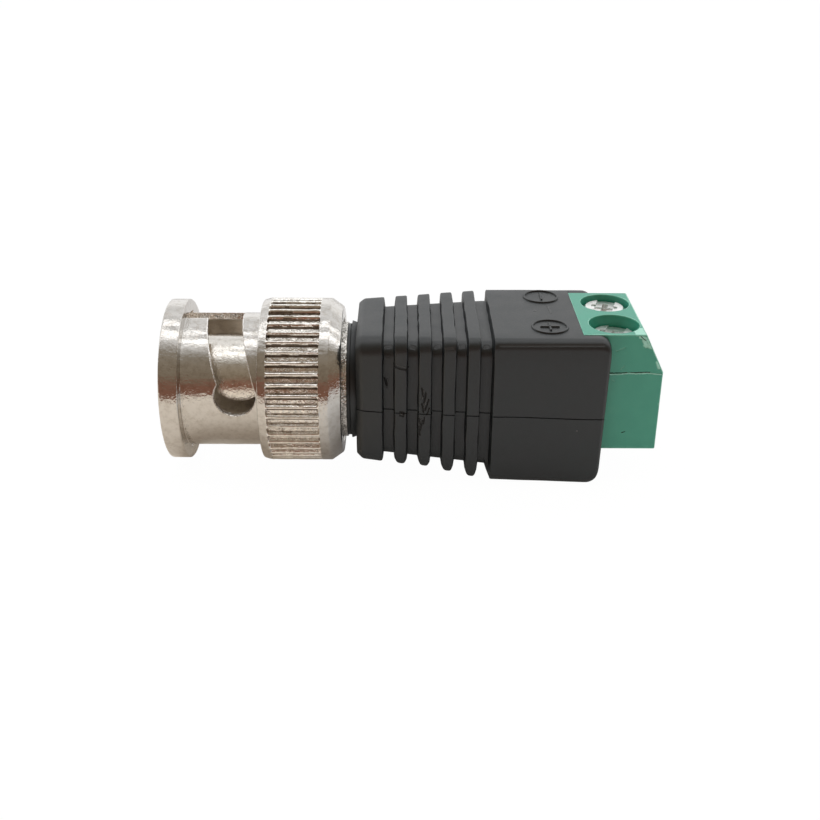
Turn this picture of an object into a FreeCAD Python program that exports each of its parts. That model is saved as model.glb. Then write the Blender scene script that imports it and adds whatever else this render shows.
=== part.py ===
import FreeCAD, Part
import math
import os

import Sketcher

# BNC plug to two-way screw terminal adapter, in millimetres.
# Origin: on the plug axis, in the plane of the coupling nut's open front rim.
# +X runs along the axis to the screw terminals, +Z is up with the screws on top, +Y is across.
# Angles round the axis are counted from the -Y side, over the top.

SIZES = {
    # Shared clearances
    "running_clearance": 0.1,
    "thread_clearance": 0.05,
    "seat_gap": 0.05,
    # Coupling nut, outside
    "jack_gap": 0.85,
    "mouth_depth": 2.6,
    "bore_relief": 0.4,
    "barrel_wall": 0.97,
    "flange_wall": 1.13,
    "flange_width": 1.63,
    "flange_bevel": 0.18,
    "grip_length": 7.0,
    "grip_wall": 1.3,
    "grip_front_drop": 0.2,
    "grip_front_bevel": 0.7,
    "grip_rear_bevel": 0.9,
    "nut_rear_drop": 0.7,
    # Straight knurl of the grip ring
    "knurl_count": 48,
    "knurl_depth": 0.34,
    "knurl_top_width": 0.62,
    "knurl_floor_width": 0.46,
    "knurl_front_land": 0.5,
    "knurl_rear_land": 1.94,
    "knurl_phase": 0.85,
    # Bayonet slots through the nut's barrel
    "slot_width": 3.0,
    "slot_breakout": 0.05,
    "channel_angle": 103.0,
    "ramp_lead": 1.3,
    "ramp_early_rise": 0.35,
    "ramp_late_rise": 1.25,
    "detent_angle": 9.0,
    "detent_setback": 4.8,
    "detent_radius": 1.76,
    "slot_overcut": 1.0,
    # What the nut holds, from the gasket back to its rear lip
    "jack_depth": 11.0,
    "gasket_thickness": 0.9,
    "gasket_clearance": 0.15,
    "body_flange_thickness": 0.8,
    "spring_height": 1.45,
    "spring_thickness": 0.25,
    "spring_waves": 3,
    "washer_thickness": 0.3,
    "retainer_thickness": 0.55,
    "retainer_width": 0.7,
    "lip_thickness": 0.2,
    "lip_overlap": 0.4,
    # Plug body
    "hub_wall": 0.75,
    "hub_exposed": 0.4,
    "tail_wall": 0.7,
    "tail_length": 4.8,
    "tail_groove_width": 0.6,
    "tail_groove_depth": 0.35,
    "tail_groove_pitch": 1.4,
    "body_bore_radius": 2.8,
    # Outer contact sleeve
    "sleeve_radius": 4.05,
    "sleeve_wall": 0.6,
    "sleeve_reach": 8.1,
    "sleeve_root_step": 0.3,
    "sleeve_seat_depth": 1.5,
    "sleeve_tip_bevel": 0.25,
    "slit_width": 0.4,
    "slit_length": 6.5,
    "slit_angle": 135.0,
    # Centre pin and its insulator
    "pin_radius": 0.675,
    "pin_recess": 1.2,
    "pin_nose_length": 0.7,
    "pin_nose_radius": 0.25,
    "pin_contact_length": 5.9,
    "pin_shank_radius": 1.0,
    "pin_collar_radius": 1.4,
    "pin_collar_width": 0.8,
    "pin_collar_inset": 1.6,
    "pin_tail_exposed": 1.0,
    "cup_depth": 1.8,
    "insulator_front_gap": 0.4,
    "insulator_rear_inset": 0.8,
    # Ground tag on the plug body's tail
    "tag_thickness": 0.8,
    "tag_wall": 0.35,
    "tag_inset": 0.2,
    "tab_length": 2.6,
    "tab_width": 1.6,
    "tab_thickness": 0.4,
    # Inner mould with its collared nose
    "nose_length": 0.83,
    "collar_front_length": 0.25,
    "collar_front_drop": 0.14,
    "collar_gap_drop": 0.35,
    "collar_gap_length": 0.1,
    "collar_rear_rise": 0.12,
    "collar_rear_length": 0.35,
    "core_cover": 0.45,
    "core_block_length": 11.36,
    "core_block_inset": 0.88,
    "core_block_cover": 1.92,
    "core_block_drop": 0.26,
    "core_foot_length": 6.4,
    "core_foot_inset": 1.08,
    "core_foot_cover": 0.25,
    # Boot: ribbed grip and terminal box
    "band_length": 2.24,
    "band_edge": 0.3,
    "band_side_height": 0.74,
    "band_top_height": 0.71,
    "band_front_drop": 0.64,
    "band_rear_drop": 0.6,
    "band_corner": 1.5,
    "root_front_side_wall": 0.61,
    "root_front_top_wall": 0.95,
    "root_front_bottom_wall": 0.59,
    "root_rear_side_wall": 0.72,
    "root_rear_top_drop": 0.71,
    "root_rear_floor": 1.64,
    "root_corner": 1.2,
    "first_rib_gap": 1.55,
    "rib_pitch": 2.035,
    "rib_tip_width": 0.9,
    "rib_flank": 0.13,
    "rib_tip_edge": 0.16,
    "rib_a_drop": 0.63,
    "rib_b_drop": 0.54,
    "rib_c_drop": 0.73,
    "rib_d_drop": 0.94,
    "last_rib_gap": 1.675,
    "box_flank": 0.5,
    "box_length": 9.5,
    "box_side_wall": 1.45,
    "box_front_floor": 2.62,
    "box_rear_floor": 2.95,
    "box_corner": 0.85,
    "box_end_top_round": 0.9,
    "box_end_bottom_round": 1.1,
    # Raised polarity marks on the box
    "mark_height": 0.12,
    "mark_line": 0.22,
    "mark_ring_radius": 1.6,
    "mark_bar_length": 1.65,
    "mark_setback": 2.6,
    "plus_mark_shift": 3.28,
    "minus_mark_shift": 4.0,
    # Terminal housing
    "wing_length": 2.11,
    "housing_proud": 0.05,
    "housing_bottom": 4.24,
    "housing_side_wall": 0.64,
    "well_depth": 4.02,
    "well_clearance": 0.28,
    "slant_length": 1.69,
    "slant_rise": 0.61,
    "pole_half_pitch": 2.54,
    "housing_floor": 0.69,
    "entry_bevel": 0.3,
    # Wire clamp of one pole
    "cage_half_width": 1.85,
    "cage_height": 5.6,
    "cage_back_inset": 0.61,
    "cage_front_inset": 1.15,
    "cage_length": 5.2,
    "screw_inset": 2.33,
    "cage_side_wall": 0.55,
    "cage_floor": 0.5,
    "cage_roof": 1.2,
    "plate_length": 2.7,
    "plate_half_width": 1.15,
    "plate_thickness": 0.5,
    "screw_radius": 1.25,
    "screw_head_radius": 1.85,
    "screw_head_height": 1.3,
    "screw_head_bevel": 0.2,
    "screw_shank_length": 4.6,
    "swivel_radius": 0.8,
    "swivel_lip_radius": 1.05,
    "swivel_lip_thickness": 0.2,
    "recess_width": 0.5,
    "recess_length": 2.3,
    "recess_depth": 0.7,
    "slot_line_width": 1.6,
    "slot_line_depth": 0.22,
    "plus_head_drop": 0.8,
    "minus_head_drop": 0.37,
    "plus_screw_turn": -24.0,
    "minus_screw_turn": -16.0,
    # Solder contact of one pole
    "contact_thickness": 0.35,
    "contact_width": 1.0,
    "contact_length": 4.4,
    "contact_pin_length": 1.6,
    "contact_pin_width": 0.8,
    # Leads inside the mould
    "lead_radius": 0.4,
    "lead_bend_radius": 3.0,
    "lead_run_in": 7.1,
    "lead_run_out": 4.0,
}


class Size:
    """A size of the model: the text that binds it to the sheet, and its value."""

    def __init__(self, text, value):
        self.text = text
        self.value = value

    def joined(self, sign, other, value):
        """This size and another one joined by an arithmetic sign."""
        return Size("(%s %s %s)" % (self.text, sign, other.text), value)

    def __add__(self, other):
        other = as_size(other)
        return self.joined("+", other, self.value + other.value)

    def __sub__(self, other):
        other = as_size(other)
        return self.joined("-", other, self.value - other.value)

    def __mul__(self, other):
        other = as_size(other)
        return self.joined("*", other, self.value * other.value)

    def __truediv__(self, other):
        other = as_size(other)
        return self.joined("/", other, self.value / other.value)

    def __rsub__(self, other):
        return as_size(other) - self

    def __neg__(self):
        return Size("(-%s)" % self.text, -self.value)

    __radd__ = __add__
    __rmul__ = __mul__


def as_size(number):
    """A plain number, or a size as it is."""
    return number if isinstance(number, Size) else Size(repr(number), float(number))


class Sheet:
    """The driving sizes, each kept in a named cell and read as an attribute."""

    def __init__(self, document, sizes):
        cells = document.addObject("Spreadsheet::Sheet", "Sizes")
        for row, (name, number) in enumerate(sizes.items(), start=1):
            cells.set("A%d" % row, name)
            cells.set("B%d" % row, str(number))
            cells.setAlias("B%d" % row, name)
            setattr(self, name, Size("Sizes.%s" % name, float(number)))


doc = FreeCAD.newDocument("bnc_screw_terminal_adapter")
d = Sheet(doc, SIZES)
doc.recompute()

NODES = []

# Points that guide one curved edge, or one wave of the spring
CURVE_STEPS = 12


# Helpers


def bind(thing, **sizes):
    """Bind properties of an object to sizes; two underscores stand for a dot."""
    for path, size in sizes.items():
        thing.setExpression(path.replace("__", "."), as_size(size).text)


def new_body(label):
    """An empty body with its label."""
    body = doc.addObject("PartDesign::Body", label)
    body.Label = label
    return body


def origin_part(body, role):
    """One of the body's own origin planes or axes."""
    return next(item for item in body.Origin.OriginFeatures if item.Role == role)


def new_sketch(body, name, plane, offset=None, turn=0.0):
    """A sketch on one of the body's origin planes, lifted off it by offset."""
    sketch = body.newObject("Sketcher::SketchObject", name)
    sketch.AttachmentSupport = [(origin_part(body, plane), "")]
    sketch.MapMode = "FlatFace"
    if offset is not None:
        spin = FreeCAD.Rotation(FreeCAD.Vector(0, 0, 1), turn)
        sketch.AttachmentOffset = FreeCAD.Placement(FreeCAD.Vector(0, 0, offset.value), spin)
        bind(sketch, AttachmentOffset__Base__z=offset)
    return sketch


def place_point(sketch, edge, end, across, up):
    """Bind both coordinates of one end of an edge to sizes."""
    for kind, size, axis in (("DistanceX", across, -2), ("DistanceY", up, -1)):
        size = as_size(size)
        if size.value == 0:
            sketch.addConstraint(Sketcher.Constraint("PointOnObject", edge, end, axis))
            continue
        rule = Sketcher.Constraint(kind, -1, 1, edge, end, size.value)
        index = sketch.addConstraint(rule)
        sketch.setExpression("Constraints[%d]" % index, size.text)


def draw_polygon(sketch, corners):
    """A closed outline of straight edges through corners given as pairs of sizes."""
    first = sketch.GeometryCount
    count = len(corners)
    places = [FreeCAD.Vector(as_size(x).value, as_size(y).value, 0) for x, y in corners]
    for i in range(count):
        sketch.addGeometry(Part.LineSegment(places[i], places[(i + 1) % count]), False)
    for i in range(count):
        follower = first + (i + 1) % count
        sketch.addConstraint(Sketcher.Constraint("Coincident", first + i, 2, follower, 1))
    for i, (x, y) in enumerate(corners):
        place_point(sketch, first + i, 1, x, y)


def draw_box(sketch, left, right, low, high):
    """A closed rectangle between four sizes."""
    draw_polygon(sketch, [(left, low), (right, low), (right, high), (left, high)])


def draw_circle(sketch, across, up, radius):
    """A circle with its centre and radius bound to sizes."""
    centre = FreeCAD.Vector(as_size(across).value, as_size(up).value, 0)
    edge = sketch.addGeometry(Part.Circle(centre, FreeCAD.Vector(0, 0, 1), radius.value), False)
    place_point(sketch, edge, 3, across, up)
    index = sketch.addConstraint(Sketcher.Constraint("Radius", edge, radius.value))
    sketch.setExpression("Constraints[%d]" % index, radius.text)


def draw_rounded_box(sketch, half_width, low, high, corner):
    """A rounded rectangle from -half_width to half_width across and from low to high up."""
    side = (half_width - corner).value
    inner_low = (low + corner).value
    inner_high = (high - corner).value
    turns = (
        (side, inner_low, 1.5 * math.pi),
        (side, inner_high, 0.0),
        (-side, inner_high, 0.5 * math.pi),
        (-side, inner_low, math.pi),
    )
    for across, up, start in turns:
        circle = Part.Circle(FreeCAD.Vector(across, up, 0), FreeCAD.Vector(0, 0, 1), corner.value)
        sketch.addGeometry(Part.ArcOfCircle(circle, start, start + 0.5 * math.pi), False)
    for i in range(len(turns)):
        start = sketch.getPoint(i, 2)
        finish = sketch.getPoint((i + 1) % len(turns), 1)
        edge = sketch.addGeometry(Part.LineSegment(start, finish), False)
        sketch.addConstraint(Sketcher.Constraint("Coincident", i, 2, edge, 1))
        sketch.addConstraint(Sketcher.Constraint("Coincident", edge, 2, (i + 1) % len(turns), 1))
    ends = (
        (0, 1, half_width - corner, low),
        (0, 2, half_width, low + corner),
        (1, 1, half_width, high - corner),
        (1, 2, half_width - corner, high),
        (2, 1, corner - half_width, high),
        (2, 2, -half_width, high - corner),
        (3, 1, -half_width, low + corner),
        (3, 2, corner - half_width, low),
    )
    for edge, end, across, up in ends:
        place_point(sketch, edge, end, across, up)
    for i in range(len(turns)):
        index = sketch.addConstraint(Sketcher.Constraint("Radius", i, corner.value))
        sketch.setExpression("Constraints[%d]" % index, corner.text)


def revolve(body, name, corners, plane="XZ_Plane", axis="H_Axis"):
    """A solid of revolution from a closed outline; by default about the plug axis."""
    sketch = new_sketch(body, name + "_outline", plane)
    draw_polygon(sketch, corners)
    feature = body.newObject("PartDesign::Revolution", name)
    feature.Profile = sketch
    feature.ReferenceAxis = (sketch, [axis])
    feature.Angle = 360
    doc.recompute()
    return feature


def pad(body, name, sketch, length, midplane=False, reverse=False):
    """Add the sketch's area, drawn out to a length."""
    feature = body.newObject("PartDesign::Pad", name)
    feature.Profile = sketch
    feature.Midplane = midplane
    feature.Reversed = reverse
    bind(feature, Length=length)
    doc.recompute()
    return feature


def pocket(body, name, sketch, length, midplane=False, reverse=False):
    """Cut the sketch's area to a depth, and make sure that it cut something."""
    before = body.Shape.Volume
    feature = body.newObject("PartDesign::Pocket", name)
    feature.Profile = sketch
    feature.Midplane = midplane
    feature.Reversed = reverse
    bind(feature, Length=length)
    doc.recompute()
    if not body.Shape.Volume < before:
        raise RuntimeError("%s cuts nothing" % name)
    return feature


def polar_pattern(body, name, feature, count):
    """Repeat a feature evenly round the plug axis."""
    pattern = body.newObject("PartDesign::PolarPattern", name)
    pattern.Originals = [feature]
    pattern.Axis = (origin_part(body, "X_Axis"), [""])
    pattern.Angle = 360
    bind(pattern, Occurrences=count)
    body.Tip = pattern
    doc.recompute()
    return pattern


def loft(body, name, sections):
    """Join rounded rectangles, each (place, half width, low, high, corner), by straight flanks."""
    sketches = []
    for number, (place, half_width, low, high, corner) in enumerate(sections):
        sketch = new_sketch(body, "%s_section_%d" % (name, number), "YZ_Plane", place)
        draw_rounded_box(sketch, half_width, low, high, corner)
        sketches.append(sketch)
    feature = body.newObject("PartDesign::AdditiveLoft", name)
    feature.Profile = sketches[0]
    feature.Sections = sketches[1:]
    feature.Ruled = True
    doc.recompute()
    return feature


def solid_feature(label, shape):
    """A feature that holds a ready shape."""
    feature = doc.addObject("Part::Feature", label)
    feature.Label = label
    feature.Shape = shape
    feature.Placement = FreeCAD.Placement()
    return feature


def cut(label, base, tools):
    """The base with every tool taken out of it, one after the other."""
    for number, tool in enumerate(tools, start=1):
        last = number == len(tools)
        name = label if last else "%s_cut_%d" % (label, number)
        feature = doc.addObject("Part::Cut", name)
        feature.Label = name
        feature.Base = base
        feature.Tool = tool
        doc.recompute()
        if not feature.Shape.Volume < base.Shape.Volume:
            raise RuntimeError("%s is not cut by %s" % (label, tool.Label))
        base = feature
    return base


def keep(node):
    """Note an object as one of the adapter's own pieces."""
    NODES.append(node)
    return node


def around_axis(place, radius, degrees):
    """The point at a place along the plug axis, a radius from it and an angle round it."""
    angle = math.radians(degrees)
    return FreeCAD.Vector(place, -radius * math.cos(angle), radius * math.sin(angle))


def spline(points, closed=False):
    """A smooth edge through points."""
    curve = Part.BSplineCurve()
    curve.interpolate(Points=points, PeriodicFlag=closed)
    return curve.toShape()


def closed_solid(faces):
    """One solid bounded by faces that meet edge to edge."""
    shell = Part.makeShell(faces)
    shell.sewShape()
    solid = Part.makeSolid(shell)
    solid.fix(1e-6, 1e-6, 1e-6)
    if solid.Volume < 0:
        solid.reverse()
    return solid


# Radii, each one from what is inside it

sleeve_bore = d.sleeve_radius - d.sleeve_wall
sleeve_root_radius = d.sleeve_radius + d.sleeve_root_step
mouth_radius = d.sleeve_radius + d.jack_gap
barrel_radius = mouth_radius + d.barrel_wall
slot_root_radius = barrel_radius + d.slot_breakout
flange_radius = slot_root_radius + d.flange_wall
hub_radius = sleeve_root_radius + d.hub_wall
ring_bore = hub_radius + d.running_clearance
cavity_radius = ring_bore + d.retainer_width
body_flange_radius = cavity_radius - d.running_clearance
grip_radius = cavity_radius + d.grip_wall
tail_radius = d.body_bore_radius + d.tail_wall
tag_radius = tail_radius + d.tag_wall
core_radius = tag_radius + d.core_cover

# Places along the plug axis, each one from the piece before it

gasket_seat = d.jack_depth + d.gasket_thickness
spring_seat = gasket_seat + d.body_flange_thickness
washer_front = spring_seat + d.spring_height
retainer_front = washer_front + d.washer_thickness
lip_front = retainer_front + d.retainer_thickness
nut_end = lip_front + d.lip_thickness
detent_place = d.jack_depth - d.detent_setback
ramp_start = detent_place - d.ramp_lead
hub_end = nut_end + d.hub_exposed
tail_end = hub_end + d.tail_length
boot_front = hub_end + d.nose_length
first_rib_place = boot_front + d.band_length + d.first_rib_gap
box_front = first_rib_place + d.rib_pitch * 3 + d.last_rib_gap
box_end = box_front + d.box_length
housing_back = box_end - d.wing_length
cage_back = housing_back + d.cage_back_inset
screw_place = cage_back + d.screw_inset
housing_front = cage_back + d.cage_length + d.cage_front_inset

# Heights and widths of the terminal block

contact_top = -(d.housing_bottom - d.housing_floor - d.contact_thickness)
cage_top = contact_top + d.cage_height
housing_top = cage_top + d.well_depth
box_top = housing_top - d.housing_proud
chamber_half_width = d.cage_half_width + d.seat_gap
housing_half_width = d.pole_half_pitch + chamber_half_width + d.housing_side_wall
contact_pin_front = cage_back + d.contact_pin_width
contact_low = -(d.housing_bottom + d.contact_pin_length)


# Coupling nut


def bayonet_ramp():
    """The curved stretch of one slot: a cut of even width that leans back towards its detent."""
    start = d.channel_angle.value
    finish = d.detent_angle.value
    inner = (mouth_radius - d.slot_overcut / 2).value
    outer = (barrel_radius + d.slot_overcut / 2).value
    half = (d.slot_width / 2).value
    rails = {}
    for side in (-half, half):
        for radius in (inner, outer):
            points = []
            for step in range(CURVE_STEPS + 1):
                share = step / CURVE_STEPS
                rise = d.ramp_early_rise.value * share + d.ramp_late_rise.value * share**2
                place = ramp_start.value + rise + side
                points.append(around_axis(place, radius, start + (finish - start) * share))
            rails[side, radius] = spline(points)
    walls = [
        Part.makeRuledSurface(rails[-half, inner], rails[-half, outer]),
        Part.makeRuledSurface(rails[half, inner], rails[half, outer]),
        Part.makeRuledSurface(rails[-half, inner], rails[half, inner]),
        Part.makeRuledSurface(rails[-half, outer], rails[half, outer]),
    ]
    for end in (0, -1):
        corners = [
            rails[key].Vertexes[end].Point
            for key in ((-half, inner), (half, inner), (half, outer), (-half, outer))
        ]
        walls.append(Part.Face(Part.makePolygon(corners + corners[:1])))
    return closed_solid([face for wall in walls for face in wall.Faces])


def bayonet_slot():
    """One slot: the way in under the flange, the ramp and the round detent at its end."""
    low = (mouth_radius - d.slot_overcut).value
    margin = d.slot_overcut.value
    width = d.slot_width.value
    depth = slot_root_radius.value - low
    corner = FreeCAD.Vector(-margin, -width / 2, low)
    length = (ramp_start + d.slot_width / 2 + d.seat_gap).value + margin
    channel = Part.makeBox(length, width, depth, corner)
    channel.rotate(FreeCAD.Vector(), FreeCAD.Vector(1, 0, 0), 90 - d.channel_angle.value)
    detent_base = around_axis(detent_place.value, low, d.detent_angle.value)
    outward = around_axis(0, 1, d.detent_angle.value)
    reach = barrel_radius.value + margin - low
    detent = Part.makeCylinder(d.detent_radius.value, reach, detent_base, outward)
    return channel.fuse([bayonet_ramp(), detent])


def build_coupling_nut():
    """Nickelled die-cast nut: front flange, slotted barrel and knurled grip ring."""
    body = new_body("nut_blank")
    grip_front = nut_end - d.grip_length
    bore_radius = mouth_radius + d.bore_relief
    cavity_front = gasket_seat - d.seat_gap
    revolve(body, "nut_turning", [
        (0, mouth_radius),
        (0, flange_radius - d.flange_bevel),
        (d.flange_bevel, flange_radius),
        (d.flange_width - d.flange_bevel, flange_radius),
        (d.flange_width, flange_radius - d.flange_bevel),
        (d.flange_width, barrel_radius),
        (grip_front, barrel_radius),
        (grip_front, grip_radius - d.grip_front_drop),
        (grip_front + d.grip_front_bevel, grip_radius),
        (nut_end - d.grip_rear_bevel, grip_radius),
        (nut_end, grip_radius - d.nut_rear_drop),
        (nut_end, cavity_radius - d.lip_overlap),
        (lip_front, cavity_radius - d.lip_overlap),
        (lip_front, cavity_radius),
        (cavity_front, cavity_radius),
        (cavity_front, bore_radius),
        (d.mouth_depth, bore_radius),
        (d.mouth_depth, mouth_radius),
    ])
    knurl_front = grip_front + d.knurl_front_land
    sketch = new_sketch(body, "knurl_groove_outline", "YZ_Plane", knurl_front, -d.knurl_phase.value)
    floor = grip_radius - d.knurl_depth
    above = grip_radius + d.knurl_depth
    flare = d.knurl_top_width * 1.5 - d.knurl_floor_width * 0.5
    draw_polygon(sketch, [
        (-d.knurl_floor_width / 2, floor),
        (d.knurl_floor_width / 2, floor),
        (flare / 2, above),
        (-flare / 2, above),
    ])
    length = nut_end - d.knurl_rear_land - knurl_front
    groove = pocket(body, "knurl_groove", sketch, length, reverse=True)
    polar_pattern(body, "knurl", groove, d.knurl_count)
    slot = bayonet_slot()
    other = slot.copy()
    other.rotate(FreeCAD.Vector(), FreeCAD.Vector(1, 0, 0), 180)
    slots = solid_feature("bayonet_slots", Part.makeCompound([slot, other]))
    keep(cut("coupling_nut", body, [slots]))


def build_nut_retainer():
    """Steel ring pressed into the nut behind the slip washer and held by the nut's lip."""
    body = new_body("nut_retainer")
    revolve(body, "nut_retainer_ring", [
        (retainer_front, ring_bore),
        (retainer_front, cavity_radius),
        (lip_front, cavity_radius),
        (lip_front, ring_bore),
    ])
    keep(body)


def build_slip_washer():
    """Flat washer that the wave spring pushes on and the nut turns against."""
    body = new_body("slip_washer")
    revolve(body, "slip_washer_ring", [
        (washer_front, ring_bore),
        (washer_front, body_flange_radius),
        (retainer_front, body_flange_radius),
        (retainer_front, ring_bore),
    ])
    keep(body)


def build_wave_spring():
    """Wavy steel ring between the plug body's flange and the slip washer."""
    inner = (ring_bore + d.seat_gap).value
    outer = (body_flange_radius - d.seat_gap).value
    middle = (spring_seat + d.spring_height / 2).value
    swing = 0.5 * (d.spring_height - d.spring_thickness).value
    waves = int(d.spring_waves.value)
    steps = CURVE_STEPS * waves
    rails = {}
    for side in (-0.5, 0.5):
        for radius in (inner, outer):
            points = []
            for step in range(steps):
                degrees = 360.0 * step / steps
                wave = swing * math.cos(math.radians(waves * degrees))
                place = middle + wave + side * d.spring_thickness.value
                points.append(around_axis(place, radius, degrees))
            rails[side, radius] = spline(points, closed=True)
    pairs = (
        ((-0.5, inner), (-0.5, outer)),
        ((0.5, inner), (0.5, outer)),
        ((-0.5, inner), (0.5, inner)),
        ((-0.5, outer), (0.5, outer)),
    )
    walls = [Part.makeRuledSurface(rails[a], rails[b]) for a, b in pairs]
    keep(solid_feature("wave_spring", closed_solid([face for wall in walls for face in wall.Faces])))


# Plug core


def build_plug_body():
    """Die-cast body: spring flange, hub and a grooved tail that the mould grips."""
    body = new_body("plug_body")
    seat_end = gasket_seat + d.sleeve_seat_depth
    tail_floor = tail_radius - d.tail_groove_depth
    first = hub_end + d.tail_groove_pitch
    second = first + d.tail_groove_pitch
    revolve(body, "plug_body_turning", [
        (gasket_seat, sleeve_root_radius),
        (gasket_seat, body_flange_radius),
        (spring_seat, body_flange_radius),
        (spring_seat, hub_radius),
        (hub_end, hub_radius),
        (hub_end, tail_radius),
        (first, tail_radius),
        (first, tail_floor),
        (first + d.tail_groove_width, tail_floor),
        (first + d.tail_groove_width, tail_radius),
        (second, tail_radius),
        (second, tail_floor),
        (second + d.tail_groove_width, tail_floor),
        (second + d.tail_groove_width, tail_radius),
        (tail_end, tail_radius),
        (tail_end, d.body_bore_radius),
        (seat_end, d.body_bore_radius),
        (seat_end, sleeve_root_radius),
    ])
    keep(body)


def build_contact_sleeve():
    """Sprung outer contact: a thin tube with two slits, pressed into the plug body."""
    body = new_body("contact_sleeve")
    tip = d.jack_depth - d.sleeve_reach
    step = d.jack_depth - d.running_clearance
    seat_end = gasket_seat + d.sleeve_seat_depth
    revolve(body, "contact_sleeve_tube", [
        (tip, sleeve_bore),
        (tip, d.sleeve_radius - d.sleeve_tip_bevel),
        (tip + d.sleeve_tip_bevel, d.sleeve_radius),
        (step, d.sleeve_radius),
        (step, sleeve_root_radius),
        (seat_end, sleeve_root_radius),
        (seat_end, sleeve_bore),
    ])
    sketch = new_sketch(body, "slit_outline", "YZ_Plane", tip, d.slit_angle.value)
    draw_box(sketch, -d.slit_width / 2, d.slit_width / 2, -d.sleeve_radius * 1.2, d.sleeve_radius * 1.2)
    pocket(body, "slits", sketch, d.slit_length, reverse=True)
    keep(body)


def build_gasket():
    """Rubber ring that the mating jack's rim presses on."""
    body = new_body("gasket")
    outer = mouth_radius - d.gasket_clearance
    revolve(body, "gasket_ring", [
        (d.jack_depth, sleeve_root_radius),
        (d.jack_depth, outer),
        (gasket_seat, outer),
        (gasket_seat, sleeve_root_radius),
    ])
    keep(body)


pin_tip = d.jack_depth - d.sleeve_reach + d.pin_recess
pin_shoulder = pin_tip + d.pin_contact_length
insulator_front = d.jack_depth - d.insulator_front_gap
insulator_end = tail_end - d.insulator_rear_inset
collar_front = gasket_seat + d.sleeve_seat_depth + d.pin_collar_inset
collar_end = collar_front + d.pin_collar_width
pin_end = insulator_end + d.pin_tail_exposed
cup_floor = pin_end - d.cup_depth
cup_radius = d.lead_radius + d.seat_gap


def build_centre_pin():
    """Turned centre contact with a holding collar and a solder cup at its rear."""
    body = new_body("centre_pin")
    revolve(body, "centre_pin_turning", [
        (pin_tip, 0),
        (pin_tip, d.pin_nose_radius),
        (pin_tip + d.pin_nose_length, d.pin_radius),
        (pin_shoulder, d.pin_radius),
        (pin_shoulder, d.pin_shank_radius),
        (collar_front, d.pin_shank_radius),
        (collar_front, d.pin_collar_radius),
        (collar_end, d.pin_collar_radius),
        (collar_end, d.pin_shank_radius),
        (pin_end, d.pin_shank_radius),
        (pin_end, cup_radius),
        (cup_floor, cup_radius),
        (cup_floor, 0),
    ])
    keep(body)


def build_insulator():
    """White dielectric moulded round the centre pin, in the sleeve and the body's bore."""
    body = new_body("insulator")
    seat_end = gasket_seat + d.sleeve_seat_depth
    revolve(body, "insulator_moulding", [
        (insulator_front, d.pin_shank_radius),
        (insulator_front, sleeve_bore),
        (seat_end, sleeve_bore),
        (seat_end, d.body_bore_radius),
        (insulator_end, d.body_bore_radius),
        (insulator_end, d.pin_shank_radius),
        (collar_end, d.pin_shank_radius),
        (collar_end, d.pin_collar_radius),
        (collar_front, d.pin_collar_radius),
        (collar_front, d.pin_shank_radius),
    ])
    keep(body)


tag_end = tail_end - d.tag_inset
tag_front = tag_end - d.tag_thickness
tab_bottom = -tag_radius
ground_lead_height = tab_bottom + d.tab_thickness + d.lead_radius / 2
ground_lead_start = tail_end + d.running_clearance * 2


def build_ground_tag():
    """Tinned ring on the plug body's tail, with a tab that the ground lead is soldered to."""
    body = new_body("ground_tag")
    revolve(body, "ground_tag_ring", [
        (tag_front, tail_radius),
        (tag_front, tag_radius),
        (tag_end, tag_radius),
        (tag_end, tail_radius),
    ])
    sketch = new_sketch(body, "ground_tab_outline", "YZ_Plane", tag_end)
    half = d.tab_width / 2
    draw_box(sketch, -half, half, tab_bottom, tab_bottom + d.tab_thickness)
    pad(body, "ground_tab", sketch, d.tab_length)
    groove = new_sketch(body, "solder_groove_outline", "YZ_Plane", ground_lead_start)
    draw_circle(groove, 0, ground_lead_height, d.lead_radius)
    pocket(body, "solder_groove", groove, d.tab_length, reverse=True)
    keep(body)


# Terminal block


def build_terminal_housing():
    """Green two-way housing with a slanted brow, two screw wells and two wire entries."""
    body = new_body("terminal_housing")
    block = new_sketch(body, "housing_outline", "XZ_Plane")
    draw_polygon(block, [
        (housing_back, -d.housing_bottom),
        (housing_front, -d.housing_bottom),
        (housing_front, cage_top + d.slant_rise),
        (housing_front - d.slant_length, housing_top),
        (housing_back, housing_top),
    ])
    pad(body, "housing_block", block, housing_half_width * 2, midplane=True)
    chambers = new_sketch(body, "chamber_outline", "YZ_Plane", housing_front)
    mouths = new_sketch(body, "entry_outline", "YZ_Plane", housing_front)
    chamber_floor = d.housing_floor - d.housing_bottom
    chamber_top = cage_top + d.seat_gap
    for side in (-1, 1):
        middle = d.pole_half_pitch * side
        left = middle - chamber_half_width
        right = middle + chamber_half_width
        draw_box(chambers, left, right, chamber_floor, chamber_top)
        lip = d.entry_bevel
        draw_box(mouths, left - lip, right + lip, chamber_floor - lip, chamber_top + lip)
    pocket(body, "clamp_chambers", chambers, housing_front - cage_back + d.seat_gap)
    pocket(body, "entry_rims", mouths, d.entry_bevel)
    wells = new_sketch(body, "well_outline", "XY_Plane", housing_top)
    slots = new_sketch(body, "contact_slot_outline", "XY_Plane", -d.housing_bottom)
    for side in (-1, 1):
        middle = d.pole_half_pitch * side
        draw_circle(wells, screw_place, middle, d.screw_head_radius + d.well_clearance)
        half = d.contact_width / 2
        draw_box(slots, cage_back, contact_pin_front, middle - half, middle + half)
    pocket(body, "screw_wells", wells, housing_top - chamber_top)
    pocket(body, "contact_slots", slots, d.housing_floor, reverse=True)
    keep(body)


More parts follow.
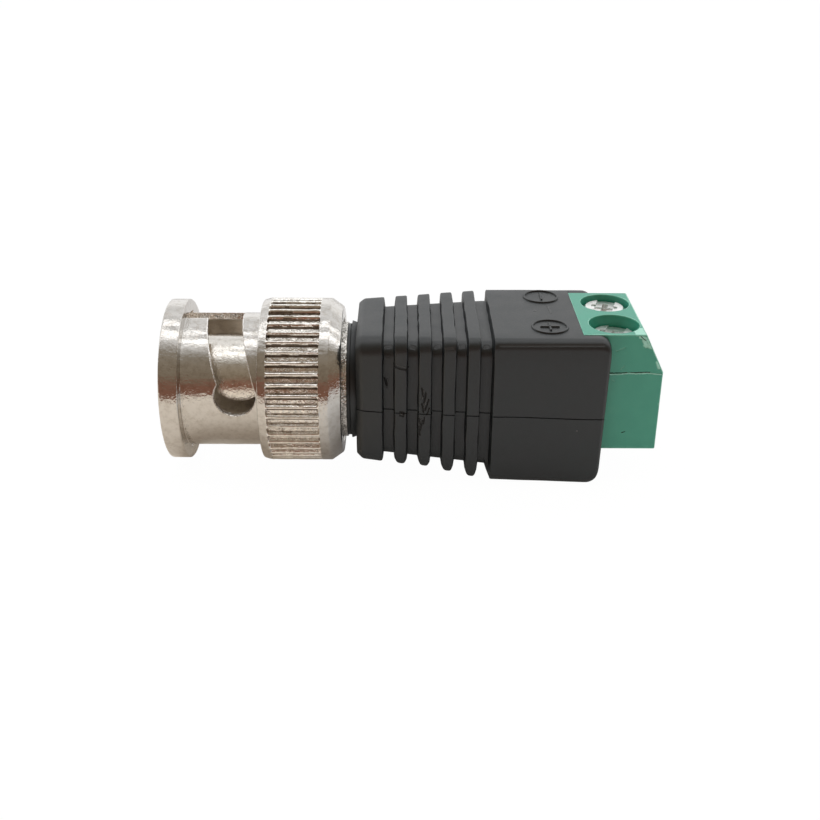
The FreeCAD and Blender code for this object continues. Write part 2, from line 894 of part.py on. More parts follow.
def shifted(body, side, place=None, height=None, turn=0):
    """Move a pole's piece to its own pole, its place along the axis and its height, turned by degrees."""
    upright = FreeCAD.Vector(0, 0, 1)
    body.Placement = FreeCAD.Placement(FreeCAD.Vector(0, side, 0), FreeCAD.Rotation(upright, turn))
    bind(body, Placement__Base__y=d.pole_half_pitch * side)
    if place is not None:
        bind(body, Placement__Base__x=place)
    if height is not None:
        bind(body, Placement__Base__z=height)
    doc.recompute()
    return keep(body)


def build_wire_cage(pole, side):
    """Square metal cage round the wire, with a thick tapped roof."""
    body = new_body("wire_cage_" + pole)
    outline = new_sketch(body, "cage_outline", "YZ_Plane", cage_back)
    inner = d.cage_half_width - d.cage_side_wall
    draw_box(outline, -d.cage_half_width, d.cage_half_width, contact_top, cage_top)
    draw_box(outline, -inner, inner, contact_top + d.cage_floor, cage_top - d.cage_roof)
    pad(body, "cage_tube", outline, d.cage_length)
    tapping = new_sketch(body, "tapped_hole_outline", "XY_Plane", cage_top)
    draw_circle(tapping, screw_place, 0, d.screw_radius + d.thread_clearance)
    pocket(body, "tapped_hole", tapping, d.cage_roof)
    shifted(body, side)


def build_solder_contact(pole, side):
    """Tinned strip under the cage, bent down into a solder pin through the housing's floor."""
    body = new_body("solder_contact_" + pole)
    outline = new_sketch(body, "contact_outline", "XZ_Plane")
    foot = contact_top - d.contact_thickness
    draw_polygon(outline, [
        (cage_back, contact_low),
        (contact_pin_front, contact_low),
        (contact_pin_front, foot),
        (cage_back + d.contact_length, foot),
        (cage_back + d.contact_length, contact_top),
        (cage_back, contact_top),
    ])
    pad(body, "contact_strip", outline, d.contact_width, midplane=True)
    shifted(body, side)


def build_clamp_screw(pole, side, drop, turn):
    """Cross-recess and slot screw; its swaged tip carries the pressure plate."""
    body = new_body("clamp_screw_" + pole)
    tip = -d.screw_shank_length
    under_plate = tip - d.plate_thickness - d.thread_clearance
    revolve(body, "screw_turning", [
        (0, d.screw_head_height),
        (d.screw_head_radius - d.screw_head_bevel, d.screw_head_height),
        (d.screw_head_radius, d.screw_head_height - d.screw_head_bevel),
        (d.screw_head_radius, 0),
        (d.screw_radius, 0),
        (d.screw_radius, tip),
        (d.swivel_radius, tip),
        (d.swivel_radius, under_plate),
        (d.swivel_lip_radius, under_plate),
        (d.swivel_lip_radius, under_plate - d.swivel_lip_thickness),
        (0, under_plate - d.swivel_lip_thickness),
    ], axis="V_Axis")
    half_recess = d.recess_width / 2
    half_length = d.recess_length / 2
    lengthways = new_sketch(body, "recess_outline", "XY_Plane", d.screw_head_height)
    draw_box(lengthways, -half_length, half_length, -half_recess, half_recess)
    pocket(body, "recess", lengthways, d.recess_depth)
    crossways = new_sketch(body, "cross_recess_outline", "XY_Plane", d.screw_head_height)
    draw_box(crossways, -half_recess, half_recess, -half_length, half_length)
    pocket(body, "cross_recess", crossways, d.recess_depth)
    line = new_sketch(body, "driver_slot_outline", "XY_Plane", d.screw_head_height)
    half_line = d.slot_line_width / 2
    draw_box(line, -half_line, half_line, -d.screw_head_radius, d.screw_head_radius)
    pocket(body, "driver_slot", line, d.slot_line_depth)
    shifted(body, side, screw_place, housing_top - drop - d.screw_head_height, turn.value)


def build_pressure_plate(pole, side, drop):
    """Plate that the screw presses on the wire without turning against it."""
    body = new_body("pressure_plate_" + pole)
    outline = new_sketch(body, "plate_outline", "XY_Plane")
    half = d.plate_length / 2
    draw_box(outline, -half, half, -d.plate_half_width, d.plate_half_width)
    draw_circle(outline, 0, 0, d.swivel_radius + d.thread_clearance)
    pad(body, "plate", outline, d.plate_thickness, reverse=True)
    height = housing_top - drop - d.screw_head_height - d.screw_shank_length
    shifted(body, side, screw_place, height)


# Leads


def bent_lead(label, corners):
    """A round wire through corners, straight between them, with a tangent arc at each bend."""
    radius = d.lead_bend_radius.value
    edges = []
    start = corners[0]
    for before, corner, after in zip(corners, corners[1:], corners[2:]):
        into = (corner - before).normalize()
        out = (after - corner).normalize()
        half_turn = 0.5 * into.getAngle(out)
        reach = radius * math.tan(half_turn)
        centre_way = (out - into).normalize()
        centre = corner + centre_way * (radius / math.cos(half_turn))
        first = corner - into * reach
        last = corner + out * reach
        middle = centre - centre_way * radius
        edges.append(Part.LineSegment(start, first).toShape())
        edges.append(Part.Arc(first, middle, last).toShape())
        start = last
    edges.append(Part.LineSegment(start, corners[-1]).toShape())
    path = Part.Wire(edges)
    heading = (corners[1] - corners[0]).normalize()
    ring = Part.Wire(Part.makeCircle(d.lead_radius.value, corners[0], heading))
    return keep(solid_feature(label, path.makePipeShell([ring], True, False)))


def build_leads():
    """The centre lead from the pin's cup and the ground lead from the tag, each to its contact."""
    height = 0.5 * (contact_low - d.housing_bottom).value
    far = cage_back.value
    bend_out = (housing_back - d.lead_run_out).value
    bend_in = (tail_end + d.lead_run_in).value
    across = d.pole_half_pitch.value
    on_tab = ground_lead_height.value
    vector = FreeCAD.Vector
    centre = bent_lead("centre_lead", [
        vector(cup_floor.value, 0, 0),
        vector(bend_in, 0, 0),
        vector(bend_out, -across, height),
        vector(far, -across, height),
    ])
    ground = bent_lead("ground_lead", [
        vector(ground_lead_start.value, 0, on_tab),
        vector(bend_in, 0, on_tab),
        vector(bend_out, across, height),
        vector(far, across, height),
    ])
    return [centre, ground]


# Mouldings


def build_inner_mould(contained):
    """Black pre-mould that fills the boot round the leads; its collared nose shows at the neck."""
    body = new_body("mould_blank")
    collar_end_place = hub_end + d.collar_front_length
    rear_collar = collar_end_place + d.collar_gap_length
    core_end = housing_back - d.core_block_length
    revolve(body, "mould_turning", [
        (hub_end, tail_radius),
        (hub_end, hub_radius - d.collar_front_drop),
        (collar_end_place, hub_radius - d.collar_front_drop),
        (collar_end_place, hub_radius - d.collar_gap_drop),
        (rear_collar, hub_radius - d.collar_gap_drop),
        (rear_collar, hub_radius + d.collar_rear_rise),
        (rear_collar + d.collar_rear_length, hub_radius),
        (boot_front, hub_radius),
        (boot_front, core_radius),
        (core_end, core_radius),
        (core_end, 0),
        (pin_end, 0),
        (pin_end, d.pin_shank_radius),
        (insulator_end, d.pin_shank_radius),
        (insulator_end, d.body_bore_radius),
        (tail_end, d.body_bore_radius),
        (tail_end, tail_radius),
    ])
    block = new_sketch(body, "mould_block_outline", "YZ_Plane", core_end)
    width = housing_half_width - d.core_block_inset
    low = -(d.housing_bottom + d.core_block_drop)
    draw_box(block, -width, width, low, housing_top - d.core_block_cover)
    pad(body, "mould_block", block, d.core_block_length)
    foot = new_sketch(body, "mould_foot_outline", "YZ_Plane", housing_back - d.core_foot_length)
    foot_low = contact_low - d.core_foot_cover
    foot_width = housing_half_width - d.core_foot_inset
    draw_box(foot, -foot_width, foot_width, foot_low, -d.housing_bottom)
    foot_end = contact_pin_front + d.contact_thickness
    pad(body, "mould_foot", foot, foot_end - housing_back + d.core_foot_length)
    keep(cut("inner_mould", body, contained))
    return body


def along_boot(place, front, rear):
    """A size that changes evenly from the boot's front to its box."""
    share = (place - boot_front) / (box_front - boot_front)
    return front + (rear - front) * share


def root_section(place):
    """Section of the boot at the bottom of its grooves, from the core to the terminal block."""
    front = core_radius
    side = along_boot(
        place, front + d.root_front_side_wall, housing_half_width + d.root_rear_side_wall
    )
    low = along_boot(
        place, -(front + d.root_front_bottom_wall), -(d.housing_bottom + d.root_rear_floor)
    )
    high = along_boot(place, front + d.root_front_top_wall, housing_top - d.root_rear_top_drop)
    return place, side, low, high, d.root_corner


def outer_section(place, drop, inset=0):
    """Section over the band and the ribs, a drop below the grooves and drawn in by an inset."""
    root_side, root_low, root_high = root_section(place)[1:4]
    box_rise = d.box_side_wall - d.root_rear_side_wall
    side = root_side + along_boot(place, d.band_side_height, box_rise)
    top_rise = d.root_rear_top_drop - d.housing_proud
    high = root_high + along_boot(place, d.band_top_height, top_rise)
    corner = along_boot(place, d.band_corner, d.box_corner)
    return place, side - inset, root_low - drop + inset, high - inset, corner


def box_section(place, floor):
    """Section of the terminal box, with a floor of its own under the housing."""
    side = housing_half_width + d.box_side_wall
    return place, side, -(d.housing_bottom + floor), box_top, d.box_corner


def draw_end_round(body, name, up, radius, side):
    """Round off the box's end where it meets the top or the bottom."""
    sketch = new_sketch(body, name + "_outline", "XZ_Plane")
    margin = d.box_corner
    start = box_end - radius
    corners = [
        (start, up),
        (start, up + margin * side),
        (box_end + margin, up + margin * side),
        (box_end + margin, up - radius * side),
        (box_end, up - radius * side),
    ]
    places = [FreeCAD.Vector(x.value, as_size(y).value, 0) for x, y in corners]
    for before, after in zip(places, places[1:]):
        sketch.addGeometry(Part.LineSegment(before, after), False)
    centre = FreeCAD.Vector(start.value, (up - radius * side).value, 0)
    circle = Part.Circle(centre, FreeCAD.Vector(0, 0, 1), radius.value)
    low = 0.0 if side > 0 else 1.5 * math.pi
    arc = sketch.addGeometry(Part.ArcOfCircle(circle, low, low + 0.5 * math.pi), False)
    arc_from_side, arc_from_flat = (1, 2) if side > 0 else (2, 1)
    last = len(places) - 2
    for edge in range(last):
        sketch.addConstraint(Sketcher.Constraint("Coincident", edge, 2, edge + 1, 1))
    sketch.addConstraint(Sketcher.Constraint("Coincident", last, 2, arc, arc_from_side))
    sketch.addConstraint(Sketcher.Constraint("Coincident", arc, arc_from_flat, 0, 1))
    for edge, (x, y) in enumerate(corners[:-1]):
        place_point(sketch, edge, 1, x, y)
    place_point(sketch, last, 2, *corners[-1])
    index = sketch.addConstraint(Sketcher.Constraint("Radius", arc, radius.value))
    sketch.setExpression("Constraints[%d]" % index, radius.text)
    pocket(body, name, sketch, (housing_half_width + d.box_side_wall) * 4, midplane=True)


def draw_marks(body):
    """Ringed plus and minus signs that stand up from the top of the box."""
    middle = housing_back - d.mark_setback
    half = d.mark_bar_length / 2
    line = d.mark_line / 2
    rings = new_sketch(body, "mark_ring_outline", "XY_Plane", box_top)
    for centre in (-d.plus_mark_shift, d.minus_mark_shift):
        draw_circle(rings, middle, centre, d.mark_ring_radius)
        draw_circle(rings, middle, centre, d.mark_ring_radius - d.mark_line)
    pad(body, "mark_rings", rings, d.mark_height)
    plus = -d.plus_mark_shift
    minus = d.minus_mark_shift
    signs = new_sketch(body, "mark_sign_outline", "XY_Plane", box_top)
    draw_polygon(signs, [
        (middle - half, plus - line),
        (middle - line, plus - line),
        (middle - line, plus - half),
        (middle + line, plus - half),
        (middle + line, plus - line),
        (middle + half, plus - line),
        (middle + half, plus + line),
        (middle + line, plus + line),
        (middle + line, plus + half),
        (middle - line, plus + half),
        (middle - line, plus + line),
        (middle - half, plus + line),
    ])
    draw_box(signs, middle - line, middle + line, minus - half, minus + half)
    pad(body, "mark_signs", signs, d.mark_height)


def build_boot(mould):
    """Black over-moulding: a tapering square grip with ribs, and a box open at its rear."""
    body = new_body("boot_blank")
    loft(body, "grip_root", [root_section(boot_front), root_section(box_front)])
    band_end = boot_front + d.band_length
    edge = d.band_edge
    loft(body, "front_band", [
        outer_section(boot_front, d.band_front_drop, edge),
        outer_section(boot_front + edge, d.band_front_drop),
        outer_section(band_end, d.band_rear_drop),
        root_section(band_end + edge / 2),
    ])
    drops = (d.rib_a_drop, d.rib_b_drop, d.rib_c_drop, d.rib_d_drop)
    for number, drop in enumerate(drops):
        middle = first_rib_place + d.rib_pitch * number
        half = d.rib_tip_width / 2
        lip = d.rib_tip_edge
        loft(body, "rib_%d" % (number + 1), [
            root_section(middle - half - d.rib_flank),
            outer_section(middle - half, drop, lip),
            outer_section(middle - half + lip, drop),
            outer_section(middle + half - lip, drop),
            outer_section(middle + half, drop, lip),
            root_section(middle + half + d.rib_flank),
        ])
    loft(body, "terminal_box", [
        root_section(box_front - d.box_flank),
        box_section(box_front, d.box_front_floor),
        box_section(box_end, d.box_rear_floor),
    ])
    box_bottom = -(d.housing_bottom + d.box_rear_floor)
    draw_end_round(body, "box_end_top", box_top, d.box_end_top_round, 1)
    draw_end_round(body, "box_end_bottom", box_bottom, d.box_end_bottom_round, -1)
    draw_marks(body)
    seat = new_sketch(body, "housing_seat_outline", "YZ_Plane", housing_back)
    side = housing_half_width
    draw_box(seat, -side, side, -d.housing_bottom, housing_top + d.box_corner)
    pocket(body, "housing_seat", seat, d.wing_length * 2, reverse=True)
    bore = new_sketch(body, "core_bore_outline", "YZ_Plane", boot_front)
    draw_circle(bore, 0, 0, core_radius)
    pocket(body, "core_bore", bore, housing_back - d.core_block_length - boot_front, reverse=True)
    keep(cut("boot", body, [mould]))


# Assembly


def build_adapter():
    """Every piece of the adapter, from the plug's front to the wire entries."""
    build_coupling_nut()
    build_nut_retainer()
    build_slip_washer()
    build_wave_spring()
    build_plug_body()
    build_contact_sleeve()
    build_gasket()
    build_insulator()
    build_centre_pin()
    build_ground_tag()
    build_terminal_housing()
    poles = (
        ("plus", -1, d.plus_head_drop, d.plus_screw_turn),
        ("minus", 1, d.minus_head_drop, d.minus_screw_turn),
    )
    for pole, side, drop, turn in poles:
        build_wire_cage(pole, side)
        build_solder_contact(pole, side)
        build_clamp_screw(pole, side, drop, turn)
        build_pressure_plate(pole, side, drop)
    leads = build_leads()
    labels = ("ground_tag", "solder_contact_plus", "solder_contact_minus")
    contained = leads + [node for node in NODES if node.Label in labels]
    mould = build_inner_mould(contained)
    build_boot(mould)


def check_and_export():
    """Stop on any failed object or bad solid, then write one file for each piece."""
    doc.recompute()
    for item in doc.Objects:
        if "Invalid" in item.State or "Error" in item.State:
            raise RuntimeError("%s failed: %s" % (item.Label, item.State))
    os.makedirs("parts", exist_ok=True)
    for node in NODES:
        shape = node.Shape
        if shape.isNull() or not shape.isValid() or not shape.Solids:
            raise RuntimeError("%s has no valid solid" % node.Label)
        print("%-24s %2d solid %9.3f mm3" % (node.Label, len(shape.Solids), shape.Volume))
    for node in NODES:
        node.Shape.exportStep("parts/%s.step" % node.Label)


build_adapter()
check_and_export()
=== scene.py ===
"""A bayonet coaxial plug with a knurled nut, a ribbed boot and a screw terminal block.

Lengths are written in millimetres and turned into metres where a mesh is made. The plug axis is X, the
terminal screws stand up along Z, and an angle round the axis runs from the front of the picture up.
"""

import logging
import math
from collections.abc import Callable
from dataclasses import dataclass
from enum import Enum

import bmesh
import bpy
import numpy as np
from mathutils import Matrix, Vector, noise

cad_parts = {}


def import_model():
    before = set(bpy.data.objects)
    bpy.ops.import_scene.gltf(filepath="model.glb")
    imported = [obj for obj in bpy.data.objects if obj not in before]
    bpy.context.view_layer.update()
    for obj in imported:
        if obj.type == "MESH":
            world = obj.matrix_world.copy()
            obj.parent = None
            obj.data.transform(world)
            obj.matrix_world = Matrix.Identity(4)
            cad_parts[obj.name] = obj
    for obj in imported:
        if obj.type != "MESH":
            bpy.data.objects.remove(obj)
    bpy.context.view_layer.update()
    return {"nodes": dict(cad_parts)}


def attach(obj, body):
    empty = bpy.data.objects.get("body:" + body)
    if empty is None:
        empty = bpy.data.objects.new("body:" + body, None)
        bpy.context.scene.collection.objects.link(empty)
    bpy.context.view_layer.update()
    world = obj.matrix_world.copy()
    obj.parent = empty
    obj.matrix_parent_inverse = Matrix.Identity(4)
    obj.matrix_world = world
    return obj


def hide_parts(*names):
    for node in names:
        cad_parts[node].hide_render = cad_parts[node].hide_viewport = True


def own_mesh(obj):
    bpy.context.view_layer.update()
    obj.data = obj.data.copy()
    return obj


LOG = logging.getLogger("adapter")
MM = 0.001

ALONG = Vector((1, 0, 0))
QUARTERS = (0.25, 0.5, 0.75)

Pair = tuple[float, float]
Point = tuple[float, float, float]
Colour = tuple[float, float, float]


class Body(Enum):
    """The rigid bodies that the pieces ride on."""

    ADAPTER = "adapter"
    WASHER = "washer"
    NUT = "nut"
    PLATE_PLUS = "plate_plus"
    PLATE_MINUS = "plate_minus"
    SCREW_PLUS = "screw_plus"
    SCREW_MINUS = "screw_minus"


# Node building


class Wire:
    """A node's output that takes part in ordinary arithmetic."""

    def __init__(self, nodes: "Nodes", socket: bpy.types.NodeSocket) -> None:
        """Keep the socket with the tree that it belongs to."""
        self.nodes = nodes
        self.socket = socket

    def combine(self, operation: str, *values: "Wire | float") -> "Wire":
        """Add one Math node.

        Args:
            operation: the Math node's operation.
            values: its inputs, in order.

        Returns:
            The node's result.
        """
        return self.nodes.add("ShaderNodeMath", {"operation": operation}, dict(enumerate(values)))

    def __add__(self, other: "Wire | float") -> "Wire":
        """This plus the other."""
        return self.combine("ADD", self, other)

    __radd__ = __add__

    def __sub__(self, other: "Wire | float") -> "Wire":
        """This less the other."""
        return self.combine("SUBTRACT", self, other)

    def __rsub__(self, other: float) -> "Wire":
        """The other less this."""
        return self.combine("SUBTRACT", other, self)

    def __mul__(self, other: "Wire | float") -> "Wire":
        """This times the other."""
        return self.combine("MULTIPLY", self, other)

    __rmul__ = __mul__

    def __truediv__(self, other: "Wire | float") -> "Wire":
        """This over the other."""
        return self.combine("DIVIDE", self, other)

    def __abs__(self) -> "Wire":
        """This without its sign."""
        return self.combine("ABSOLUTE", self)

    def root(self) -> "Wire":
        """The square root."""
        return self.combine("SQRT", self)

    def least(self, other: "Wire | float") -> "Wire":
        """The smaller of this and the other."""
        return self.combine("MINIMUM", self, other)

    def most(self, other: "Wire | float") -> "Wire":
        """The larger of this and the other."""
        return self.combine("MAXIMUM", self, other)

    def fade(self, start: float, end: float) -> "Wire":
        """A smooth step.

        Args:
            start: the value at which the step is 0.
            end: the value at which the step is 1.

        Returns:
            A mask from 0 to 1.
        """
        flipped = start > end
        low, high = (end, start) if flipped else (start, end)
        settings = {"interpolation_type": "SMOOTHSTEP"}
        inputs = {
            "Value": self,
            "From Min": low,
            "From Max": high,
            "To Min": 1.0 if flipped else 0.0,
            "To Max": 0.0 if flipped else 1.0,
        }
        return self.nodes.add("ShaderNodeMapRange", settings, inputs)


class Nodes:
    """A node tree in which every node is added in the same way."""

    def __init__(self, tree: bpy.types.NodeTree) -> None:
        """Empty the tree."""
        self.tree = tree
        self.tree.nodes.clear()

    def put(self, kind: str, settings: dict, inputs: dict) -> bpy.types.Node:
        """Add a node.

        Args:
            kind: the node's type.
            settings: its properties, set first.
            inputs: values or wires, by socket name or number.

        Returns:
            The new node.
        """
        node = self.tree.nodes.new(kind)
        for name, value in settings.items():
            setattr(node, name, value)
        for key, value in inputs.items():
            if isinstance(value, Wire):
                self.tree.links.new(value.socket, node.inputs[key])
            else:
                node.inputs[key].default_value = value
        return node

    def add(self, kind: str, settings: dict, inputs: dict, output: str | int = 0) -> Wire:
        """Add a node and return one of its outputs.

        Args:
            kind: the node's type.
            settings: its properties.
            inputs: values or wires, by socket name or number.
            output: the output wanted.

        Returns:
            The output as a wire.
        """
        return Wire(self, self.put(kind, settings, inputs).outputs[output])

    def split(self, vector: Wire, scale: float) -> list[Wire]:
        """The three parts of a vector, each multiplied by a scale."""
        node = self.put("ShaderNodeSeparateXYZ", {}, {0: vector})
        return [Wire(self, output) * scale for output in node.outputs]


class Shade(Nodes):
    """One material's node tree."""

    def __init__(self, name: str) -> None:
        """Start an empty material.

        Args:
            name: the material's name.
        """
        self.material = bpy.data.materials.new(name)
        self.material.use_nodes = True
        super().__init__(self.material.node_tree)

    def place(self) -> Wire:
        """The point on the piece, in the part's own frame."""
        return self.add("ShaderNodeTexCoord", {}, {}, "Object")

    def stretched(self, place: Wire, scale: Point) -> Wire:
        """A place with each axis multiplied by its own number."""
        return self.add("ShaderNodeVectorMath", {"operation": "MULTIPLY"}, {0: place, 1: scale})

    def noise(self, place: Wire, grain: float, detail: float = 3, roughness: float = 0.55) -> Wire:
        """Smooth noise.

        Args:
            place: where it is read, in metres.
            grain: the size of its largest grains, in millimetres.
            detail: how many finer layers it has.
            roughness: how strong the finer layers are.

        Returns:
            A value round 0.5.
        """
        inputs = {"Vector": place, "Scale": 1 / (grain * MM), "Detail": detail, "Roughness": roughness}
        return self.add("ShaderNodeTexNoise", {}, inputs, "Fac")

    def cells(self, place: Wire, grain: float) -> Wire:
        """Distance to the nearest of many scattered points, in shares of the grain size."""
        inputs = {"Vector": place, "Scale": 1 / (grain * MM), "Randomness": 1.0}
        return self.add("ShaderNodeTexVoronoi", {}, inputs, "Distance")

    def stroke_distance(self, x: Wire, y: Wire, start: Pair, end: Pair) -> Wire:
        """Distance from a point to a straight stroke, in millimetres.

        Args:
            x: the point's first place.
            y: its second.
            start: the stroke's start.
            end: its end, which may be the same.

        Returns:
            The distance.
        """
        run, rise = end[0] - start[0], end[1] - start[1]
        span = run * run + rise * rise
        along, up = x - start[0], y - start[1]
        if span > 0:
            share = ((along * run + up * rise) / span).most(0.0).least(1.0)
            along, up = along - share * run, up - share * rise
        return (along * along + up * up).root()

    def blend(self, factor: Wire | float, low: Colour | Wire, high: Colour | Wire) -> Wire:
        """A colour between two others.

        Args:
            factor: 0 for the first, 1 for the second.
            low: the first.
            high: the second.

        Returns:
            The colour.
        """
        settings = {"data_type": "RGBA"}
        inputs = {
            "Factor": factor,
            6: low if isinstance(low, Wire) else (*low, 1.0),
            7: high if isinstance(high, Wire) else (*high, 1.0),
        }
        return self.add("ShaderNodeMix", settings, inputs, 2)

    def relief(self, height: Wire, depth: float, under: Wire | None = None) -> Wire:
        """A bumped normal.

        Args:
            height: the relief, from 0 to 1.
            depth: what 1 stands for, in millimetres.
            under: a normal that it is laid over.

        Returns:
            The normal.
        """
        inputs = {"Height": height, "Distance": depth * MM, "Strength": 1.0}
        if under is not None:
            inputs["Normal"] = under
        return self.add("ShaderNodeBump", {}, inputs)

    def surface(self, **inputs: "Wire | float | tuple") -> bpy.types.Material:
        """Close the tree with one main shader.

        Args:
            inputs: the shader's sockets, with low lines for the blanks in their names.

        Returns:
            The material.
        """
        named = {key.replace("_", " "): value for key, value in inputs.items()}
        shader = self.add("ShaderNodeBsdfPrincipled", {}, named)
        self.put("ShaderNodeOutputMaterial", {}, {0: shader})
        return self.material


# Finishes


@dataclass(frozen=True)
class CastMetal:
    """Plated die-cast metal with fine pits, soft waves and uneven gloss."""

    name: str
    colour: Colour
    shade: Colour
    gloss: float
    gloss_spread: float
    pit_grain: float
    pit_depth: float
    wave_grain: float = 0.9
    wave_depth: float = 0.012
    pit_share: float = 0.5

    def build(self) -> bpy.types.Material:
        """Build the finish.

        Returns:
            The material.
        """
        s = Shade(self.name)
        place = s.place()
        wave = s.noise(place, self.wave_grain, 2)
        patch = s.noise(place, 2.6, 3)
        grit = s.noise(place, self.pit_grain, 2, 0.6)
        pits = s.cells(place, self.pit_grain * 1.6).fade(0.08, 0.3)
        where = patch.fade(self.pit_share - 0.12, self.pit_share + 0.12)
        hollow = 1 - (1 - pits) * where
        stain = s.noise(place, 0.5, 4, 0.65).fade(0.4, 0.75)
        colour = s.blend(stain * 0.55 + (1 - hollow) * 0.45, self.colour, self.shade)
        gloss = self.gloss + (grit - 0.5) * self.gloss_spread + (1 - hollow) * 0.12
        grit = grit * (patch.fade(0.35, 0.6) * 0.6 + 0.4)
        normal = s.relief(wave, self.wave_depth)
        normal = s.relief(grit + hollow * 0.25, self.pit_depth, normal)
        return s.surface(Base_Color=colour, Metallic=1.0, Roughness=gloss, Normal=normal)


@dataclass(frozen=True)
class DrawnMetal:
    """Turned, stamped or drawn metal with fine lines one way and small stains."""

    name: str
    colour: Colour
    shade: Colour
    gloss: float
    lines: Point = (1.0, 1.0, 1.0)
    line_grain: float = 0.12
    line_depth: float = 0.0025

    def build(self) -> bpy.types.Material:
        """Build the finish.

        Returns:
            The material.
        """
        s = Shade(self.name)
        place = s.place()
        drawn = s.noise(s.stretched(place, self.lines), self.line_grain, 3, 0.6)
        stain = s.noise(place, 0.8, 4, 0.6).fade(0.35, 0.8)
        speck = s.cells(place, 0.45).fade(0.16, 0.05)
        colour = s.blend(stain * 0.6 + speck * 0.3, self.colour, self.shade)
        gloss = self.gloss + (drawn - 0.5) * 0.22 + stain * 0.12
        normal = s.relief(drawn, self.line_depth)
        return s.surface(Base_Color=colour, Metallic=1.0, Roughness=gloss, Normal=normal)


class Mark(Enum):
    """What kind of mark a stroke leaves: how far it is raised and the colour it takes, in millimetres."""

    CRACK = (-0.09, -0.95)
    RIDGE = (0.06, 0.35)
    # Scuffs, and on the boot painted glints where the light catches an edge: pale and sunk a little.
    SCUFF_AND_GLINT = (-0.03, 0.2)
    FLASH = (0.05, 0.8)
    CHIP = (-0.03, 0.95)


@dataclass(frozen=True)
class Stroke:
    """A short mark on a moulding: on the side that faces the picture, given along and up, or on its top."""

    kind: Mark
    start: Pair
    end: Pair
    width: float
    on_top: bool = False


def strokes(*rows: tuple) -> tuple[Stroke, ...]:
    """Strokes from rows that give their fields in order."""
    return tuple(Stroke(*row) for row in rows)


@dataclass(frozen=True)
class Moulding:
    """Satin moulded plastic or rubber with a fine even grain, marks where it was hurt, and painted glints.
    """

    name: str
    colour: Colour
    shade: Colour
    gloss: float
    specular: float = 0.5
    grain: float = 0.16
    grain_depth: float = 0.003
    strokes: tuple[Stroke, ...] = ()
    marked_from: float = -3.0
    top: float = 6.25
    # The colour of pale marks: bare plastic at chips and scuffs, and the colour of painted glints.
    bare_and_glint: Colour = (0.3, 0.3, 0.3)

    def marks(self, s: Shade, place: Wire) -> tuple[Wire, Wire, Wire]:
        """Masks of the marks, painted glints among them.

        Args:
            s: the shader.
            place: the point on the piece.

        Returns:
            (height in millimetres, how pale, how dark).
        """
        x, y, z = s.split(place, 1 / MM)
        ragged = (s.noise(place, 0.18, 3) - 0.5) * 0.12
        upward = z.fade(self.top - 0.1, self.top)
        inward = y - upward * 0.9
        facing = inward.fade(self.marked_from + 0.2, self.marked_from)
        height, pale, dark = facing * 0.0, facing * 0.0, facing * 0.0
        for stroke in self.strokes:
            up = y if stroke.on_top else z
            far = s.stroke_distance(x + ragged, up - ragged, stroke.start, stroke.end)
            mask = far.fade(stroke.width, stroke.width * 0.35) * (upward if stroke.on_top else facing)
            lift, tint = stroke.kind.value
            height = height + mask * lift
            if tint > 0:
                pale = pale.most(mask * tint)
            else:
                dark = dark.most(mask * -tint)
        return height, pale, dark

    def build(self) -> bpy.types.Material:
        """Build the finish.

        Returns:
            The material.
        """
        s = Shade(self.name)
        place = s.place()
        fine = s.noise(place, self.grain, 4, 0.6)
        patch = s.noise(place, 1.7, 3)
        colour = s.blend(patch.fade(0.3, 0.75), self.colour, self.shade)
        gloss = self.gloss + (fine - 0.5) * 0.14 + (patch - 0.5) * 0.12
        normal = s.relief(fine, self.grain_depth, s.relief(patch, 0.006))
        if self.strokes:
            height, pale, dark = self.marks(s, place)
            # Pale marks, painted glints among them, lighten towards the pale colour; dark marks go near
            # black.
            colour = s.blend(dark, s.blend(pale, colour, self.bare_and_glint), (0.001, 0.001, 0.001))
            normal = s.relief(height, 1.0, normal)
            gloss = gloss + dark * 0.5
        return s.surface(
            Base_Color=colour, Roughness=gloss, Specular_IOR_Level=self.specular, Normal=normal
        )


Finish = CastMetal | DrawnMetal | Moulding


class Materials:
    """Every finish, built once."""

    def __init__(self) -> None:
        """Start with none built."""
        self.built: dict[str, bpy.types.Material] = {}

    def of(self, finish: Finish) -> bpy.types.Material:
        """The finish's material.

        Args:
            finish: the finish.

        Returns:
            Its material, built the first time.
        """
        if finish.name not in self.built:
            self.built[finish.name] = finish.build()
        return self.built[finish.name]


NICKEL = CastMetal(
    "cast_nickel", (0.62, 0.6, 0.57), (0.42, 0.38, 0.33), 0.09, 0.1, 0.2, 0.022, pit_share=0.56
)
ROUGH_NICKEL = CastMetal(
    "rough_cast_nickel", (0.95, 0.92, 0.87), (0.03, 0.022, 0.016), 0.14, 0.2, 0.22, 0.26,
    wave_grain=0.3, wave_depth=0.16, pit_share=0.3,
)
# Lighter and browner than the outside's nickel: a painted tone for the dim brown light inside the nut.
BORE_NICKEL = CastMetal(
    "bore_nickel", (0.72, 0.65, 0.56), (0.5, 0.43, 0.35), 0.5, 0.1, 0.3, 0.02, pit_share=0.75
)
GROOVE_NICKEL = CastMetal(
    "groove_nickel", (0.85, 0.82, 0.77), (0.3, 0.25, 0.2), 0.18, 0.2, 0.22, 0.12,
    wave_grain=0.4, wave_depth=0.05, pit_share=0.42,
)
# Painted shade: a near-black nickel for each knurl groove's upper side, where the shade under the ridge
# falls.
SHADOW_NICKEL = CastMetal(
    "painted_shade_nickel", (0.2, 0.16, 0.125), (0.04, 0.03, 0.022), 0.36, 0.2, 0.2, 0.1, pit_share=0.4
)
RIDGE_NICKEL = CastMetal(
    "ridge_nickel", (0.85, 0.83, 0.79), (0.55, 0.5, 0.43), 0.1, 0.12, 0.2, 0.05, pit_share=0.56
)
